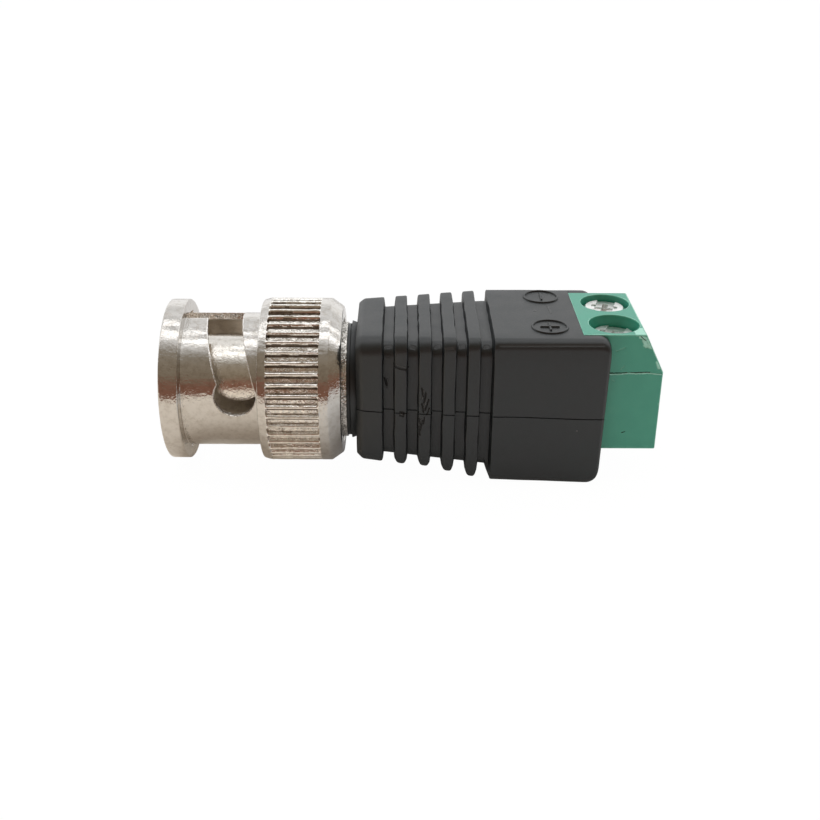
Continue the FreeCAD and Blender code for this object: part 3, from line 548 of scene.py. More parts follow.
# Painted highlight: a near-white nickel for the slot rims, where the light catches the rounded edge.
RIM_NICKEL = CastMetal(
    "nickel_rim_painted_highlight", (0.98, 0.96, 0.93), (0.3, 0.25, 0.2), 0.26, 0.2, 0.2, 0.09, pit_share=0.5
)
SLEEVE_NICKEL = CastMetal(
    "sleeve_nickel", (0.74, 0.71, 0.66), (0.44, 0.39, 0.32), 0.06, 0.1, 0.16, 0.026,
    wave_grain=0.9, wave_depth=0.008, pit_share=0.5,
)
HUB_NICKEL = CastMetal(
    "hub_nickel", (0.75, 0.73, 0.69), (0.12, 0.1, 0.08), 0.2, 0.25, 0.24, 0.2,
    wave_grain=0.5, wave_depth=0.07, pit_share=0.35,
)
SPRING_STEEL = DrawnMetal("spring_steel", (0.46, 0.45, 0.43), (0.3, 0.27, 0.23), 0.3)
GOLD = DrawnMetal("gold_plate", (0.86, 0.6, 0.22), (0.66, 0.42, 0.14), 0.2, (6.0, 1.0, 1.0))
TIN = DrawnMetal("tin_plate", (0.6, 0.6, 0.57), (0.42, 0.41, 0.38), 0.34, (0.3, 2.0, 2.0))
ZINC = DrawnMetal(
    "zinc_plate", (0.86, 0.86, 0.85), (0.5, 0.5, 0.48), 0.34, line_grain=0.2, line_depth=0.012
)
SEAL_RUBBER = Moulding("seal_rubber", (0.16, 0.04, 0.025), (0.1, 0.028, 0.018), 0.62)
DIELECTRIC = Moulding("white_dielectric", (0.74, 0.74, 0.7), (0.66, 0.65, 0.6), 0.42)
BLACK = Moulding("black_moulding", (0.0014, 0.0048, 0.0062), (0.003, 0.0085, 0.0105), 0.46, 0.78)
BOOT_STROKES = strokes(
    (Mark.CRACK, (19.68, 3.8), (20.2, 3.62), 0.11),
    (Mark.CRACK, (20.2, 3.62), (20.8, 3.52), 0.11),
    (Mark.RIDGE, (19.8, 3.98), (20.7, 3.74), 0.08),
    (Mark.CRACK, (20.2, -0.36), (20.52, -0.42), 0.1),
    (Mark.CRACK, (20.52, -0.42), (20.45, -0.78), 0.1),
    (Mark.CRACK, (20.45, -0.78), (20.14, -0.7), 0.08),
    (Mark.RIDGE, (20.3, -0.56), (20.36, -0.58), 0.12),
    (Mark.CRACK, (22.0, 1.9), (22.12, 1.2), 0.09),
    (Mark.CRACK, (22.35, 1.5), (22.2, 0.6), 0.1),
    (Mark.CRACK, (22.6, 0.9), (22.3, -0.1), 0.1),
    (Mark.CRACK, (22.02, 0.5), (22.16, -0.3), 0.09),
    (Mark.CRACK, (22.66, 0.1), (22.45, -0.5), 0.08),
    (Mark.RIDGE, (22.2, 1.7), (22.05, 0.9), 0.09),
    (Mark.RIDGE, (22.45, 0.9), (22.15, 0.0), 0.09),
    (Mark.CRACK, (21.78, -0.9), (21.95, -1.6), 0.08),
    (Mark.CRACK, (21.75, -1.7), (21.88, -2.5), 0.09),
    (Mark.CRACK, (22.08, -1.1), (21.92, -2.0), 0.08),
    (Mark.CRACK, (22.24, -0.8), (22.18, -1.4), 0.07),
    (Mark.RIDGE, (22.0, -1.0), (21.84, -2.3), 0.09),
    (Mark.CRACK, (18.86, 2.4), (19.02, 1.75), 0.1),
    (Mark.RIDGE, (19.1, 2.3), (19.06, 1.6), 0.08),
    # Painted glints: pale strokes on the groove shoulders where the light catches the rounding.
    (Mark.SCUFF_AND_GLINT, (18.95, 5.05), (19.4, 5.1), 0.16),
    (Mark.SCUFF_AND_GLINT, (21.05, 5.15), (21.4, 5.1), 0.16),
    (Mark.SCUFF_AND_GLINT, (23.1, 5.2), (23.45, 5.3), 0.16),
    (Mark.SCUFF_AND_GLINT, (25.15, 5.3), (25.5, 5.35), 0.16),
    (Mark.SCUFF_AND_GLINT, (27.2, 5.35), (27.45, 5.4), 0.16),
    (Mark.SCUFF_AND_GLINT, (23.9, 5.5), (24.5, 5.6), 0.14),
    # Painted highlights along the box's top-front edge and along its end edge.
    (Mark.SCUFF_AND_GLINT, (28.4, 5.95), (36.9, 6.0), 0.12),
    (Mark.SCUFF_AND_GLINT, (37.62, 5.2), (37.42, -5.9), 0.26),
    (Mark.CHIP, (35.2, -1.8), (35.24, -1.82), 0.09),
    (Mark.RIDGE, (31.9, 0.5), (31.92, 0.55), 0.2, True),
    (Mark.RIDGE, (33.15, 1.68), (33.26, -0.02), 0.1, True),
)
# Most of its pale scuff strokes are painted glints and edge highlights.
BOOT_BLACK = Moulding(
    "black_moulding_cracks_painted_glints", BLACK.colour, BLACK.shade, 0.46, 0.78, strokes=BOOT_STROKES,
    marked_from=-4.4, bare_and_glint=(0.1, 0.1, 0.1),
)
HOUSING_STROKES = strokes(
    (Mark.CRACK, (37.4, 2.93), (39.3, 3.0), 0.05),
    (Mark.CRACK, (39.6, 3.0), (41.2, 3.05), 0.05),
    (Mark.FLASH, (37.4, 2.84), (38.6, 2.82), 0.075),
    (Mark.FLASH, (38.6, 2.82), (39.3, 2.92), 0.085),
    (Mark.FLASH, (39.3, 2.92), (40.2, 2.9), 0.08),
    (Mark.FLASH, (40.2, 2.9), (41.0, 2.96), 0.085),
    (Mark.FLASH, (41.0, 2.96), (42.2, 2.82), 0.08),
    (Mark.CHIP, (39.8, 6.38), (40.5, 6.38), 0.14),
    (Mark.CHIP, (40.1, 6.2), (40.6, 6.1), 0.16),
    (Mark.CHIP, (40.42, 6.0), (40.7, 5.4), 0.24),
    (Mark.CHIP, (40.6, 5.5), (41.25, 5.3), 0.26),
    (Mark.CHIP, (40.8, 5.9), (41.0, 5.6), 0.2),
    (Mark.CRACK, (40.15, 6.28), (40.55, 5.95), 0.045),
    (Mark.CHIP, (41.75, 3.95), (41.95, 3.45), 0.2),
    (Mark.CHIP, (42.3, 0.1), (42.35, -0.2), 0.12),
    (Mark.SCUFF_AND_GLINT, (38.2, 4.95), (38.9, 5.25), 0.07),
    (Mark.SCUFF_AND_GLINT, (38.75, 3.3), (39.0, 3.6), 0.06),
    (Mark.CRACK, (39.35, -2.66), (39.6, -2.58), 0.07),
    (Mark.SCUFF_AND_GLINT, (38.1, 2.3), (38.3, 2.2), 0.07),
)
GREEN = Moulding(
    "green_moulding", (0.04, 0.39, 0.265), (0.05, 0.42, 0.285), 0.42, 0.85,
    strokes=HOUSING_STROKES, marked_from=-4.5, bare_and_glint=(0.45, 0.9, 0.74),
)
# Painted highlight: a paler, glossier green for the housing's rounded edges, where the light catches them.
GREEN_EDGE_HIGHLIGHT = Moulding("green_painted_edge_highlight", (0.26, 0.72, 0.55), (0.14, 0.55, 0.4), 0.36, 0.85)


# Mesh building


def make_object(name: str, points: np.ndarray | list, faces: list) -> bpy.types.Object:
    """A mesh object at the origin.

    Args:
        name: the piece's name.
        points: its points in millimetres.
        faces: its faces, each a list of point numbers.

    Returns:
        The object, with outward faces.
    """
    mesh = bpy.data.meshes.new(name)
    mesh.from_pydata([tuple(float(v) * MM for v in p) for p in points], [], faces)
    mesh.update()
    obj = bpy.data.objects.new(name, mesh)
    bpy.context.scene.collection.objects.link(obj)
    with_bmesh(obj, lambda bm: bmesh.ops.recalc_face_normals(bm, faces=bm.faces))
    return obj


def with_bmesh(obj: bpy.types.Object, change: Callable[[bmesh.types.BMesh], object]) -> None:
    """Change an object's mesh.

    Args:
        obj: the object.
        change: what is done to its bmesh.
    """
    bm = bmesh.new()
    bm.from_mesh(obj.data)
    change(bm)
    bm.to_mesh(obj.data)
    bm.free()
    obj.data.update()


def settle(obj: bpy.types.Object) -> bpy.types.Object:
    """Turn an object's live modifiers into plain mesh.

    Args:
        obj: the object.

    Returns:
        The same object, without modifiers.
    """
    bpy.context.view_layer.update()
    graph = bpy.context.evaluated_depsgraph_get()
    mesh = bpy.data.meshes.new_from_object(obj.evaluated_get(graph), depsgraph=graph)
    obj.modifiers.clear()
    obj.data = mesh
    return obj


def grid_faces(rows: int, columns: int, round_rows: bool = False, round_columns: bool = False) -> list:
    """The four-sided faces of a grid of points.

    Args:
        rows: how many rows there are.
        columns: how many points a row has.
        round_rows: whether the last row joins the first.
        round_columns: whether each row closes on itself.

    Returns:
        Faces as lists of point numbers.
    """
    faces = []
    for i in range(rows if round_rows else rows - 1):
        for j in range(columns if round_columns else columns - 1):
            k, m = (i + 1) % rows, (j + 1) % columns
            faces.append([i * columns + j, i * columns + m, k * columns + m, k * columns + j])
    return faces


def eased(corners: list[Point], steps: int = 3) -> list[Pair]:
    """A flat outline with its corners eased.

    Args:
        corners: (x, y, how far the ease reaches along each side).
        steps: the points that each ease gets, less one.

    Returns:
        The outline's points, with both end points kept.
    """
    path = [corners[0][:2]]
    for before, here, after in zip(corners, corners[1:], corners[2:]):
        point = np.array(here[:2])
        runs = [np.array(end[:2]) - point for end in (before, after)]
        lengths = [float(np.linalg.norm(run)) for run in runs]
        reach = min(here[2], lengths[0] / 2, lengths[1] / 2)
        if reach < 1e-6:
            path.append(tuple(point))
            continue
        start, end = (point + run / length * reach for run, length in zip(runs, lengths))
        for step in range(steps + 1):
            t = step / steps
            path.append(tuple((1 - t) ** 2 * start + 2 * t * (1 - t) * point + t * t * end))
    path.append(corners[-1][:2])
    return path


def tube(name: str, points: list, columns: int) -> bpy.types.Object:
    """A closed solid from sections of points, in order, with an end face at both ends.

    Args:
        name: its name.
        points: its sections' points.
        columns: how many points a section has.

    Returns:
        The solid.
    """
    last = len(points) - columns
    faces = grid_faces(len(points) // columns, columns, round_columns=True)
    faces += [list(range(columns)), list(range(last, last + columns))]
    return make_object(name, points, faces)


def finish_strips(
    obj: bpy.types.Object, finishes: tuple[bpy.types.Material, ...], second: list[bool]
) -> None:
    """Give some faces of a tool a second finish.

    Args:
        obj: the tool.
        finishes: the first finish and the second.
        second: for each face, whether it takes the second.
    """
    for finish in finishes:
        obj.data.materials.append(finish)
    obj.data.polygons.foreach_set("material_index", [int(one) for one in second])


def round_axis(place: float, radius: float, degrees: float) -> Point:
    """The point at a place along the plug axis, a radius from it and an angle round it."""
    angle = math.radians(degrees)
    return place, -radius * math.cos(angle), radius * math.sin(angle)


def cut_away(obj: bpy.types.Object, tool: bpy.types.Object) -> None:
    """Take one solid out of another; the new walls keep the tool's material.

    Args:
        obj: the solid that is cut.
        tool: the solid taken out of it, and then deleted.
    """
    modifier = obj.modifiers.new("cut", "BOOLEAN")
    modifier.object = tool
    modifier.operation = "DIFFERENCE"
    modifier.solver = "EXACT"
    modifier.material_mode = "TRANSFER"
    settle(obj)
    bpy.data.objects.remove(tool)


def round_over(obj: bpy.types.Object, width: float, degrees: float, finish: int = -1) -> None:
    """Round an object's sharp edges.

    Args:
        obj: the object.
        width: the rounding's width, in millimetres.
        degrees: edges turning by more than this are rounded.
        finish: which of the object's materials the rounding takes, or -1 for its neighbours'.
    """
    modifier = obj.modifiers.new("rounding", "BEVEL")
    modifier.width = width * MM
    modifier.segments = 2
    modifier.use_clamp_overlap = finish < 0
    modifier.material = finish
    modifier.limit_method = "ANGLE"
    modifier.angle_limit = math.radians(degrees)
    modifier.miter_outer = "MITER_ARC"
    settle(obj)


def smooth(obj: bpy.types.Object, degrees: float = 35.0) -> None:
    """Shade an object smooth, led by its large faces, except over edges that turn sharply.

    Args:
        obj: the object.
        degrees: edges turning by more than this stay sharp.
    """
    obj.data.shade_smooth()
    obj.data.set_sharp_from_angle(angle=math.radians(degrees))
    obj.modifiers.new("shading", "WEIGHTED_NORMAL").keep_sharp = True
    settle(obj)


def joined(name: str, objects: list[bpy.types.Object]) -> bpy.types.Object:
    """Make one mesh of several.

    Args:
        name: the new piece's name.
        objects: what goes into it.

    Returns:
        The new object.
    """
    bm = bmesh.new()
    for obj in objects:
        bm.from_mesh(obj.data)
        bpy.data.objects.remove(obj)
    mesh = bpy.data.meshes.new(name)
    bm.to_mesh(mesh)
    bm.free()
    obj = bpy.data.objects.new(name, mesh)
    bpy.context.scene.collection.objects.link(obj)
    return obj


@dataclass(frozen=True)
class Ripple:
    """One layer of unevenness: its depth, the size of its grains and which noise it reads."""

    depth: float
    grain: float
    seed: float = 0.0

    def at(self, point: Point) -> float:
        """The unevenness at a point, from less its depth to its depth."""
        start = Vector((self.seed, self.seed * 1.7, -self.seed))
        return self.depth * noise.noise(Vector(point) / self.grain + start)


# Repeating by rule


@dataclass(frozen=True)
class RoundArray:
    """A node tree that repeats a wedge evenly round the plug axis and closes the seams."""

    name: str = "round_array"
    count: int = 48
    weld: float = 0.002

    def tree(self) -> bpy.types.NodeTree:
        """Build the node tree, with its inputs named.

        Returns:
            The tree.
        """
        tree = bpy.data.node_groups.new(self.name, "GeometryNodeTree")
        wanted = {"Wedge": "Geometry", "Count": "Int", "Weld Distance": "Float", "Finish": "Material"}
        for label, kind in wanted.items():
            tree.interface.new_socket(label, in_out="INPUT", socket_type=f"NodeSocket{kind}")
        tree.interface.new_socket("Geometry", in_out="OUTPUT", socket_type="NodeSocketGeometry")
        nodes = Nodes(tree)
        source = nodes.put("NodeGroupInput", {}, {})
        wedge, count, weld, finish = (Wire(nodes, source.outputs[label]) for label in wanted)
        points = nodes.add("GeometryNodePoints", {}, {"Count": count})
        index = nodes.add("GeometryNodeInputIndex", {}, {})
        turn = index * count.combine("DIVIDE", math.tau, count)
        angles = nodes.add("ShaderNodeCombineXYZ", {}, {"X": turn})
        inputs = {"Points": points, "Instance": wedge, "Rotation": angles}
        copies = nodes.add("GeometryNodeInstanceOnPoints", {}, inputs)
        real = nodes.add("GeometryNodeRealizeInstances", {}, {0: copies})
        whole = nodes.add("GeometryNodeMergeByDistance", {}, {"Geometry": real, "Distance": weld})
        finished = nodes.add("GeometryNodeSetMaterial", {}, {"Geometry": whole, "Material": finish})
        nodes.put("NodeGroupOutput", {}, {0: finished})
        return tree

    def apply(self, obj: bpy.types.Object, finish: bpy.types.Material) -> None:
        """Repeat an object's mesh and keep the result as plain mesh.

        Args:
            obj: the wedge.
            finish: the material that the result gets.
        """
        values = {"Count": self.count, "Weld Distance": self.weld * MM, "Finish": finish}
        run_tree(obj, self.tree(), values)


def run_tree(obj: bpy.types.Object, tree: bpy.types.NodeTree, values: dict) -> None:
    """Run a node tree on an object and keep the result as plain mesh.

    Args:
        obj: the object.
        tree: the tree.
        values: its inputs by name.
    """
    modifier = obj.modifiers.new(tree.name, "NODES")
    modifier.node_group = tree
    for item in tree.interface.items_tree:
        if item.item_type == "SOCKET" and item.in_out == "INPUT" and item.name in values:
            modifier[item.identifier] = values[item.name]
    settle(obj)


# Pieces carried over from the solids


@dataclass(frozen=True)
class Squash:
    """The joint, seat and keep for a springy piece's flattening along the plug axis; the script keeps them
    but does not flatten the piece.
    """

    joint: str
    seat: float
    keep: float


@dataclass
class CarriedPiece:
    """A piece whose solid is right as it is: a copy with welded points and eased edges."""

    node: str
    name: str
    slot: str
    finish: Finish
    body: Body = Body.ADAPTER
    ease: float = 0.04
    # A paler finish for the rounded edges, a painted highlight, or None.
    edge: Moulding | None = None
    sharp: float = 28.0
    squash: Squash | None = None

    def build(self, nodes: dict, materials: "Materials") -> bpy.types.Object:
        """Copy the node, ease it and put it in its place.

        Args:
            nodes: the CAD nodes by name.
            materials: the shared materials.

        Returns:
            The piece.
        """
        obj = welded_copy(nodes[self.node], self.name)
        obj.data.materials.append(materials.of(self.finish))
        # The roundings take the painted-highlight finish where there is one.
        if self.edge:
            obj.data.materials.append(materials.of(self.edge))
        round_over(obj, self.ease, self.sharp, 1 if self.edge else -1)
        smooth(obj)
        seat(obj, self.body, self.slot, None, self.node)
        if self.squash:
            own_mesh(obj)
        return obj


def welded_copy(node: bpy.types.Object, name: str) -> bpy.types.Object:
    """A copy of a CAD node with its loose triangles welded and its flat faces joined.

    Args:
        node: the CAD node's object.
        name: the copy's name.

    Returns:
        The copy.
    """
    obj = bpy.data.objects.new(name, node.data.copy())
    obj.data.name = name
    obj.data.materials.clear()
    bpy.context.scene.collection.objects.link(obj)

    def weld(bm: bmesh.types.BMesh) -> None:
        """Weld the points and join faces that lie in one plane."""
        bmesh.ops.remove_doubles(bm, verts=bm.verts, dist=0.0008 * MM)
        bmesh.ops.dissolve_limit(bm, angle_limit=math.radians(0.4), verts=bm.verts, edges=bm.edges)

    with_bmesh(obj, weld)
    for name_of in list(obj.data.attributes.keys()):
        if name_of in ("custom_normal", "sharp_face", "sharp_edge"):
            obj.data.attributes.remove(obj.data.attributes[name_of])
    return obj


def seat(
    obj: bpy.types.Object, body: Body, slot: str, material: bpy.types.Material | None, *nodes: str
) -> None:
    """Put a finished piece on its body, in place of its CAD nodes.

    Args:
        obj: the piece.
        body: the body that it rides on.
        slot: the record's material slot; not used.
        material: its material, or None where it has its own already.
        nodes: the CAD nodes that it stands for.
    """
    if material is not None:
        obj.data.materials.clear()
        obj.data.materials.append(material)
    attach(obj, body.value)
    if nodes:
        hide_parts(*nodes)
    LOG.info("%s: %d faces", obj.name, len(obj.data.polygons))


# Coupling nut


@dataclass
class CouplingNut:
    """The turning nut: flange, slotted barrel and knurled grip, all die-cast and nickelled."""

    mouth: float = 4.9
    bore: float = 5.3
    mouth_depth: float = 2.6
    barrel: float = 5.87
    slot_root: float = 5.92
    flange: float = 7.05
    flange_width: float = 1.63
    grip: float = 7.2
    grip_front: float = 8.2
    end: float = 15.2
    cavity: float = 5.9
    cavity_front: float = 11.85
    lip: float = 5.5
    lip_front: float = 15.0
    knurls: int = 48
    knurl_depth: float = 0.34
    knurl_top: float = 0.64
    knurl_floor: float = 0.42
    knurl_front: float = 8.92
    knurl_rear: float = 13.36
    knurl_phase: float = 0.85
    knurl_fade: Pair = (0.14, 0.1)
    ridge_stops: Pair = (0.0, 0.55)
    flank_stops: tuple[float, ...] = (0.0, 0.45, 0.8, 1.1)
    groove_form: tuple[float, ...] = (0.0, 0.09, 0.33, 0.6, 0.86, 1.0, 1.0)
    front_chamfer: Pair = (0.7, 0.16)
    rear_chamfer: Pair = (1.02, 0.72)
    # How much of each groove's floor, on its upper side, takes painted shade.
    painted_shade_share: float = 0.36
    slot_width: float = 3.0
    channel_angle: float = 103.0
    detent_angle: float = 9.0
    ramp_start: float = 4.9
    early_rise: float = 0.35
    late_rise: float = 1.25
    rim: float = 0.075
    rim_rise: float = 0.03
    detent_place: float = 6.2
    detent_radius: float = 1.76
    slot_steps: int = 72
    channel_steps: int = 44
    fine_step: float = 0.4
    plain_step: float = 1.6
    waves: tuple[Ripple, ...] = (Ripple(0.014, 1.1), Ripple(0.009, 0.33, 3.0))
    knurl_waves: tuple[Ripple, ...] = (Ripple(0.03, 0.5, 7.0), Ripple(0.02, 0.22, 9.0))
    knurl_sway: Ripple = Ripple(0.05, 0.45, 11.0)
    ramp_wave: Ripple = Ripple(0.05, 1.0, 5.0)
    detent_wave: Ripple = Ripple(0.025, 0.3)
    channel_waves: tuple[Ripple, Ripple] = (Ripple(0.04, 0.6, 2.0), Ripple(0.05, 0.2, 6.0))

    @property
    def walls(self) -> tuple[Pair, ...]:
        """A slot wall's corners from inside out, with the rim, painted pale as a highlight, between the
        second and the third.

        Returns:
            (how far it stands back, radius) at each corner.
        """
        under, over = self.barrel - self.rim, self.barrel + self.rim_rise
        flare = over - under
        return (0.0, self.mouth - 0.5), (0.0, under), (flare, over), (flare, self.barrel + 0.7)

    def section(self) -> list[Pair]:
        """The nut's closed section, without its knurls.

        Returns:
            (place, radius) round the section.
        """
        corners = [
            (self.mouth_depth, self.mouth, 0.03),
            (0.0, self.mouth, 0.12),
            (0.0, self.flange, 0.2),
            (self.flange_width, self.flange, 0.13),
            (self.flange_width, self.barrel, 0.06),
            (self.grip_front, self.barrel, 0.08),
            (self.grip_front, self.grip - self.front_chamfer[1], 0.12),
            (self.grip_front + self.front_chamfer[0], self.grip, 0.2),
            (self.knurl_front, self.grip, 0.02),
            (self.knurl_front + self.knurl_fade[0], self.grip, 0.02),
            (self.knurl_rear - 0.12, self.grip, 0.02),
            (self.knurl_rear, self.grip, 0.02),
            (self.end - self.rear_chamfer[0], self.grip, 0.06),
            (self.end, self.grip - self.rear_chamfer[1], 0.12),
            (self.end, self.lip, 0.08),
            (self.lip_front, self.lip, 0.02),
            (self.lip_front, self.cavity, 0.02),
            (self.cavity_front, self.cavity, 0.02),
            (self.cavity_front, self.bore, 0.03),
            (self.mouth_depth, self.bore, 0.03),
        ]
        ring = corners[-1:] + corners + corners[:1]
        path = eased(ring, 3)[1:-1]
        return self.subdivided(path + path[:1])[:-1]

    def subdivided(self, path: list[Pair]) -> list[Pair]:
        """Add points along the long runs of a section.

        Args:
            path: the section.

        Returns:
            The section with no run longer than its step.
        """
        out = []
        for start, end in zip(path, path[1:]):
            length = math.dist(start, end)
            outside = min(start[1], end[1]) > self.barrel - 0.1
            count = max(1, math.ceil(length / (self.fine_step if outside else self.plain_step)))
            for i in range(count):
                t = i / count
                out.append((start[0] + (end[0] - start[0]) * t, start[1] + (end[1] - start[1]) * t))
        out.append(path[-1])
        return out

    def wedge(self) -> bpy.types.Object:
        """One knurl's share of the nut, with half a ridge on each side of its groove.

        Returns:
            The open wedge.
        """
        path = self.section()
        span = 360.0 / self.knurls
        top = math.degrees(self.knurl_top / 2 / self.grip)
        floor = math.degrees(self.knurl_floor / 2 / self.grip)
        stops = [-span / 2 + (span / 2 - top) * t for t in self.ridge_stops]
        stops += [-top + (top - floor) * t for t in self.flank_stops] + [-floor / 2]
        angles = stops + [0.0] + [-a for a in reversed(stops)]
        depths = [*self.groove_form, 1.0, *reversed(self.groove_form)]
        points = []
        for place, radius in path:
            ramp_in = (place - self.knurl_front) / self.knurl_fade[0]
            ramp_out = (self.knurl_rear - place) / self.knurl_fade[1]
            share = max(0.0, min(1.0, ramp_in, ramp_out)) if radius > self.grip - 0.3 else 0.0
            for angle, depth in zip(angles, depths):
                r = radius - self.knurl_depth * depth * share
                points.append(round_axis(place, r, angle + self.knurl_phase))
        faces = grid_faces(len(path), len(angles), round_rows=True)
        return make_object("coupling_nut_shell", points, faces)

    def weather(self, obj: bpy.types.Object) -> None:
        """Give the casting its soft waves and its uneven knurls.

        Args:
            obj: the nut.
        """
        for vertex in obj.data.vertices:
            p = vertex.co / MM
            radius = math.hypot(p.y, p.z)
            if radius < self.barrel - 0.15:
                continue
            amount = sum(wave.at(p) for wave in self.waves)
            if radius > self.grip - 0.5 and self.knurl_front - 0.42 < p.x < self.knurl_rear + 0.3:
                amount += sum(wave.at(p) for wave in self.knurl_waves)
                vertex.co.x += MM * self.knurl_sway.at(p)
            scale = min(radius + amount, self.flange if p.x < self.flange_width else self.grip) / radius
            vertex.co.y *= scale
            vertex.co.z *= scale

    def finish_hollows(self, obj: bpy.types.Object, finishes: tuple[bpy.types.Material, ...]) -> None:
        """Give the knurl and the bore their own rougher finishes, with painted shade on each groove's upper
        side.

        Args:
            obj: the nut.
            finishes: the finishes of the grooves' floors, their side with painted shade, the ridges and the
                bore.
        """
        first = len(obj.data.materials)
        for finish in finishes:
            obj.data.materials.append(finish)
        span = 360.0 / self.knurls
        painted_shade_turn = math.degrees(self.knurl_floor * self.painted_shade_share / self.grip)
        for face in obj.data.polygons:
            p = face.center / MM
            radius = math.hypot(p.y, p.z)
            if radius > self.grip - 0.5 and self.knurl_front - 0.02 < p.x < self.knurl_rear:
                turn = math.degrees(math.atan2(p.z, -p.y)) - self.knurl_phase
                turn = (turn + span / 2) % span - span / 2
                low = radius < self.grip - 0.16
                # Low faces on a groove's upper side take painted shade, the shade that falls under the
                # ridge above them.
                face.material_index = first + ((1 if turn > painted_shade_turn else 0) if low else 2)
            # The bore takes the lighter, browner nickel that is painted for the light inside it.
            elif self.mouth + 0.1 < radius < self.barrel - 0.1 and p.x < self.cavity_front:
                face.material_index = first + 3

    def ramp_tool(self, half_turn: int, finishes: tuple[bpy.types.Material, ...]) -> bpy.types.Object:
        """What is cut away for a bayonet slot's curved ramp.

        Args:
            half_turn: 0 for the slot seen in the picture, 1 for the one opposite.
            finishes: the finishes of the slot's walls and of its edge, which is painted pale as a
                highlight.

        Returns:
            The tool, flared where it leaves the barrel.
        """
        half = self.slot_width / 2
        points = []
        for step in range(self.slot_steps + 1):
            share = step / self.slot_steps
            angle = self.channel_angle + (self.detent_angle - self.channel_angle) * share
            place = self.ramp_start + self.early_rise * share + self.late_rise * share**2
            ragged = [self.ramp_wave.at((share * 22, side, half_turn)) for side in (0, 3)]
            section = [(place - half + ragged[0] - out, r) for out, r in self.walls]
            section += [(place + half + ragged[1] + out, r) for out, r in reversed(self.walls)]
            points += [round_axis(x, r, angle + 180.0 * half_turn) for x, r in section]
        return self.with_rim(tube("ramp_tool", points, 8), finishes)

    def with_rim(
        self, tool: bpy.types.Object, finishes: tuple[bpy.types.Material, ...]
    ) -> bpy.types.Object:
        """Give a tool of eight-sided sections its finishes.

        Args:
            tool: the tool.
            finishes: the walls' finish and the rims' finish.

        Returns:
            The same tool.
        """
        ends = 2
        sides = len(tool.data.polygons) - ends
        finish_strips(tool, finishes, [i % 8 in (1, 5) for i in range(sides)] + [False] * ends)
        return tool

    def detent_tool(self, half_turn: int, finishes: tuple[bpy.types.Material, ...]) -> bpy.types.Object:
        """What is cut away for a bayonet slot's round detent.

        Args:
            half_turn: 0 for the slot seen in the picture, 1 for the one opposite.
            finishes: the finishes of the slot's walls and of its edge, which is painted pale as a
                highlight.

        Returns:
            The tool.
        """
        count = self.slot_steps
        axis = Vector(round_axis(0, 1, self.detent_angle + 180.0 * half_turn))
        side = axis.cross(ALONG)
        (_, inner), (_, under), (flare, over), (_, outer) = self.walls
        points = []
        for i in range(count):
            a = math.tau * i / count
            r = self.detent_radius + self.detent_wave.at((math.cos(a), math.sin(a), half_turn))
            corners = ((0, 0, inner - 0.5), (0, under, 0), (flare, over, 0), (flare, 0, outer + 0.4))
            for out, radius, flat in corners:
                across = (r + out) * math.sin(a)
                level = flat or math.sqrt(radius**2 - across**2)
                place = self.detent_place + (r + out) * math.cos(a)
                points.append(ALONG * place + axis * level + side * across)
        faces = [f for f in grid_faces(count, 4, True, True) if f[0] % 4 != 3]
        faces += [[i * 4 for i in range(count)], [i * 4 + 3 for i in range(count)]]
        tool = make_object("detent_tool", points, faces)
        finish_strips(tool, finishes, [f[0] % 4 == 1 and len(f) == 4 for f in faces])
        return tool

    def channel_tool(self, half_turn: int, finishes: tuple[bpy.types.Material, ...]) -> bpy.types.Object:
        """What is cut away for a bayonet slot's straight entry.

        Args:
            half_turn: 0 for the slot seen in the picture, 1 for the one opposite.
            finishes: the finishes of the slot's walls and of its edge, which is painted pale as a
                highlight.

        Returns:
            The tool, flared on its near side where it leaves the barrel.
        """
        half = self.slot_width / 2
        up = Vector(round_axis(0, 1, self.channel_angle + 180.0 * half_turn))
        across = up.cross(ALONG)
        (_, inner), (_, under), (flare, over), _ = self.walls
        levels = math.sqrt(under**2 - half**2), math.sqrt(over**2 - (half + flare) ** 2)
        heights = (inner - 0.4, *levels, self.slot_root)
        length = self.ramp_start + half + 0.05
        points = []
        for i in range(self.channel_steps):
            x = -1.0 + (length + 1.0) * i / (self.channel_steps - 1)
            out = flare if x > self.flange_width + 0.1 else 0.0
            section = [(-half - out * (row > 1), h) for row, h in enumerate(heights)]
            for w, h in section + [(half, h) for h in reversed(heights)]:
                wall = math.copysign(2, w)
                shift = sum(wave.at((x, wall, z)) for wave, z in zip(self.channel_waves, (0, h)))
                points.append(ALONG * x + up * h + across * (w + shift))
        return self.with_rim(tube("channel_tool", points, 8), finishes)

    def build(self, materials: Materials) -> bpy.types.Object:
        """Build the nut and put it in its place.

        Args:
            materials: the shared materials.

        Returns:
            The piece.
        """
        obj = self.wedge()
        RoundArray(count=self.knurls).apply(obj, materials.of(NICKEL))
        with_bmesh(obj, lambda bm: bmesh.ops.recalc_face_normals(bm, faces=bm.faces))
        self.weather(obj)
        hollows = (GROOVE_NICKEL, SHADOW_NICKEL, RIDGE_NICKEL, BORE_NICKEL)
        self.finish_hollows(obj, tuple(map(materials.of, hollows)))
        slot = (materials.of(ROUGH_NICKEL), materials.of(RIM_NICKEL))
        for half_turn in (0, 1):
            for tool in (self.ramp_tool, self.detent_tool, self.channel_tool):
                cut_away(obj, tool(half_turn, slot))
        smooth(obj, 40)
        seat(obj, Body.NUT, "nickel_plate", None, "coupling_nut")
        return obj


# Boot


@dataclass(frozen=True)
class RibForm:
    """One side's rib profile: flank and easing of a rib, and the front band's drop and slope."""

    flank: float
    ease: float
    drop: float
    slope: float


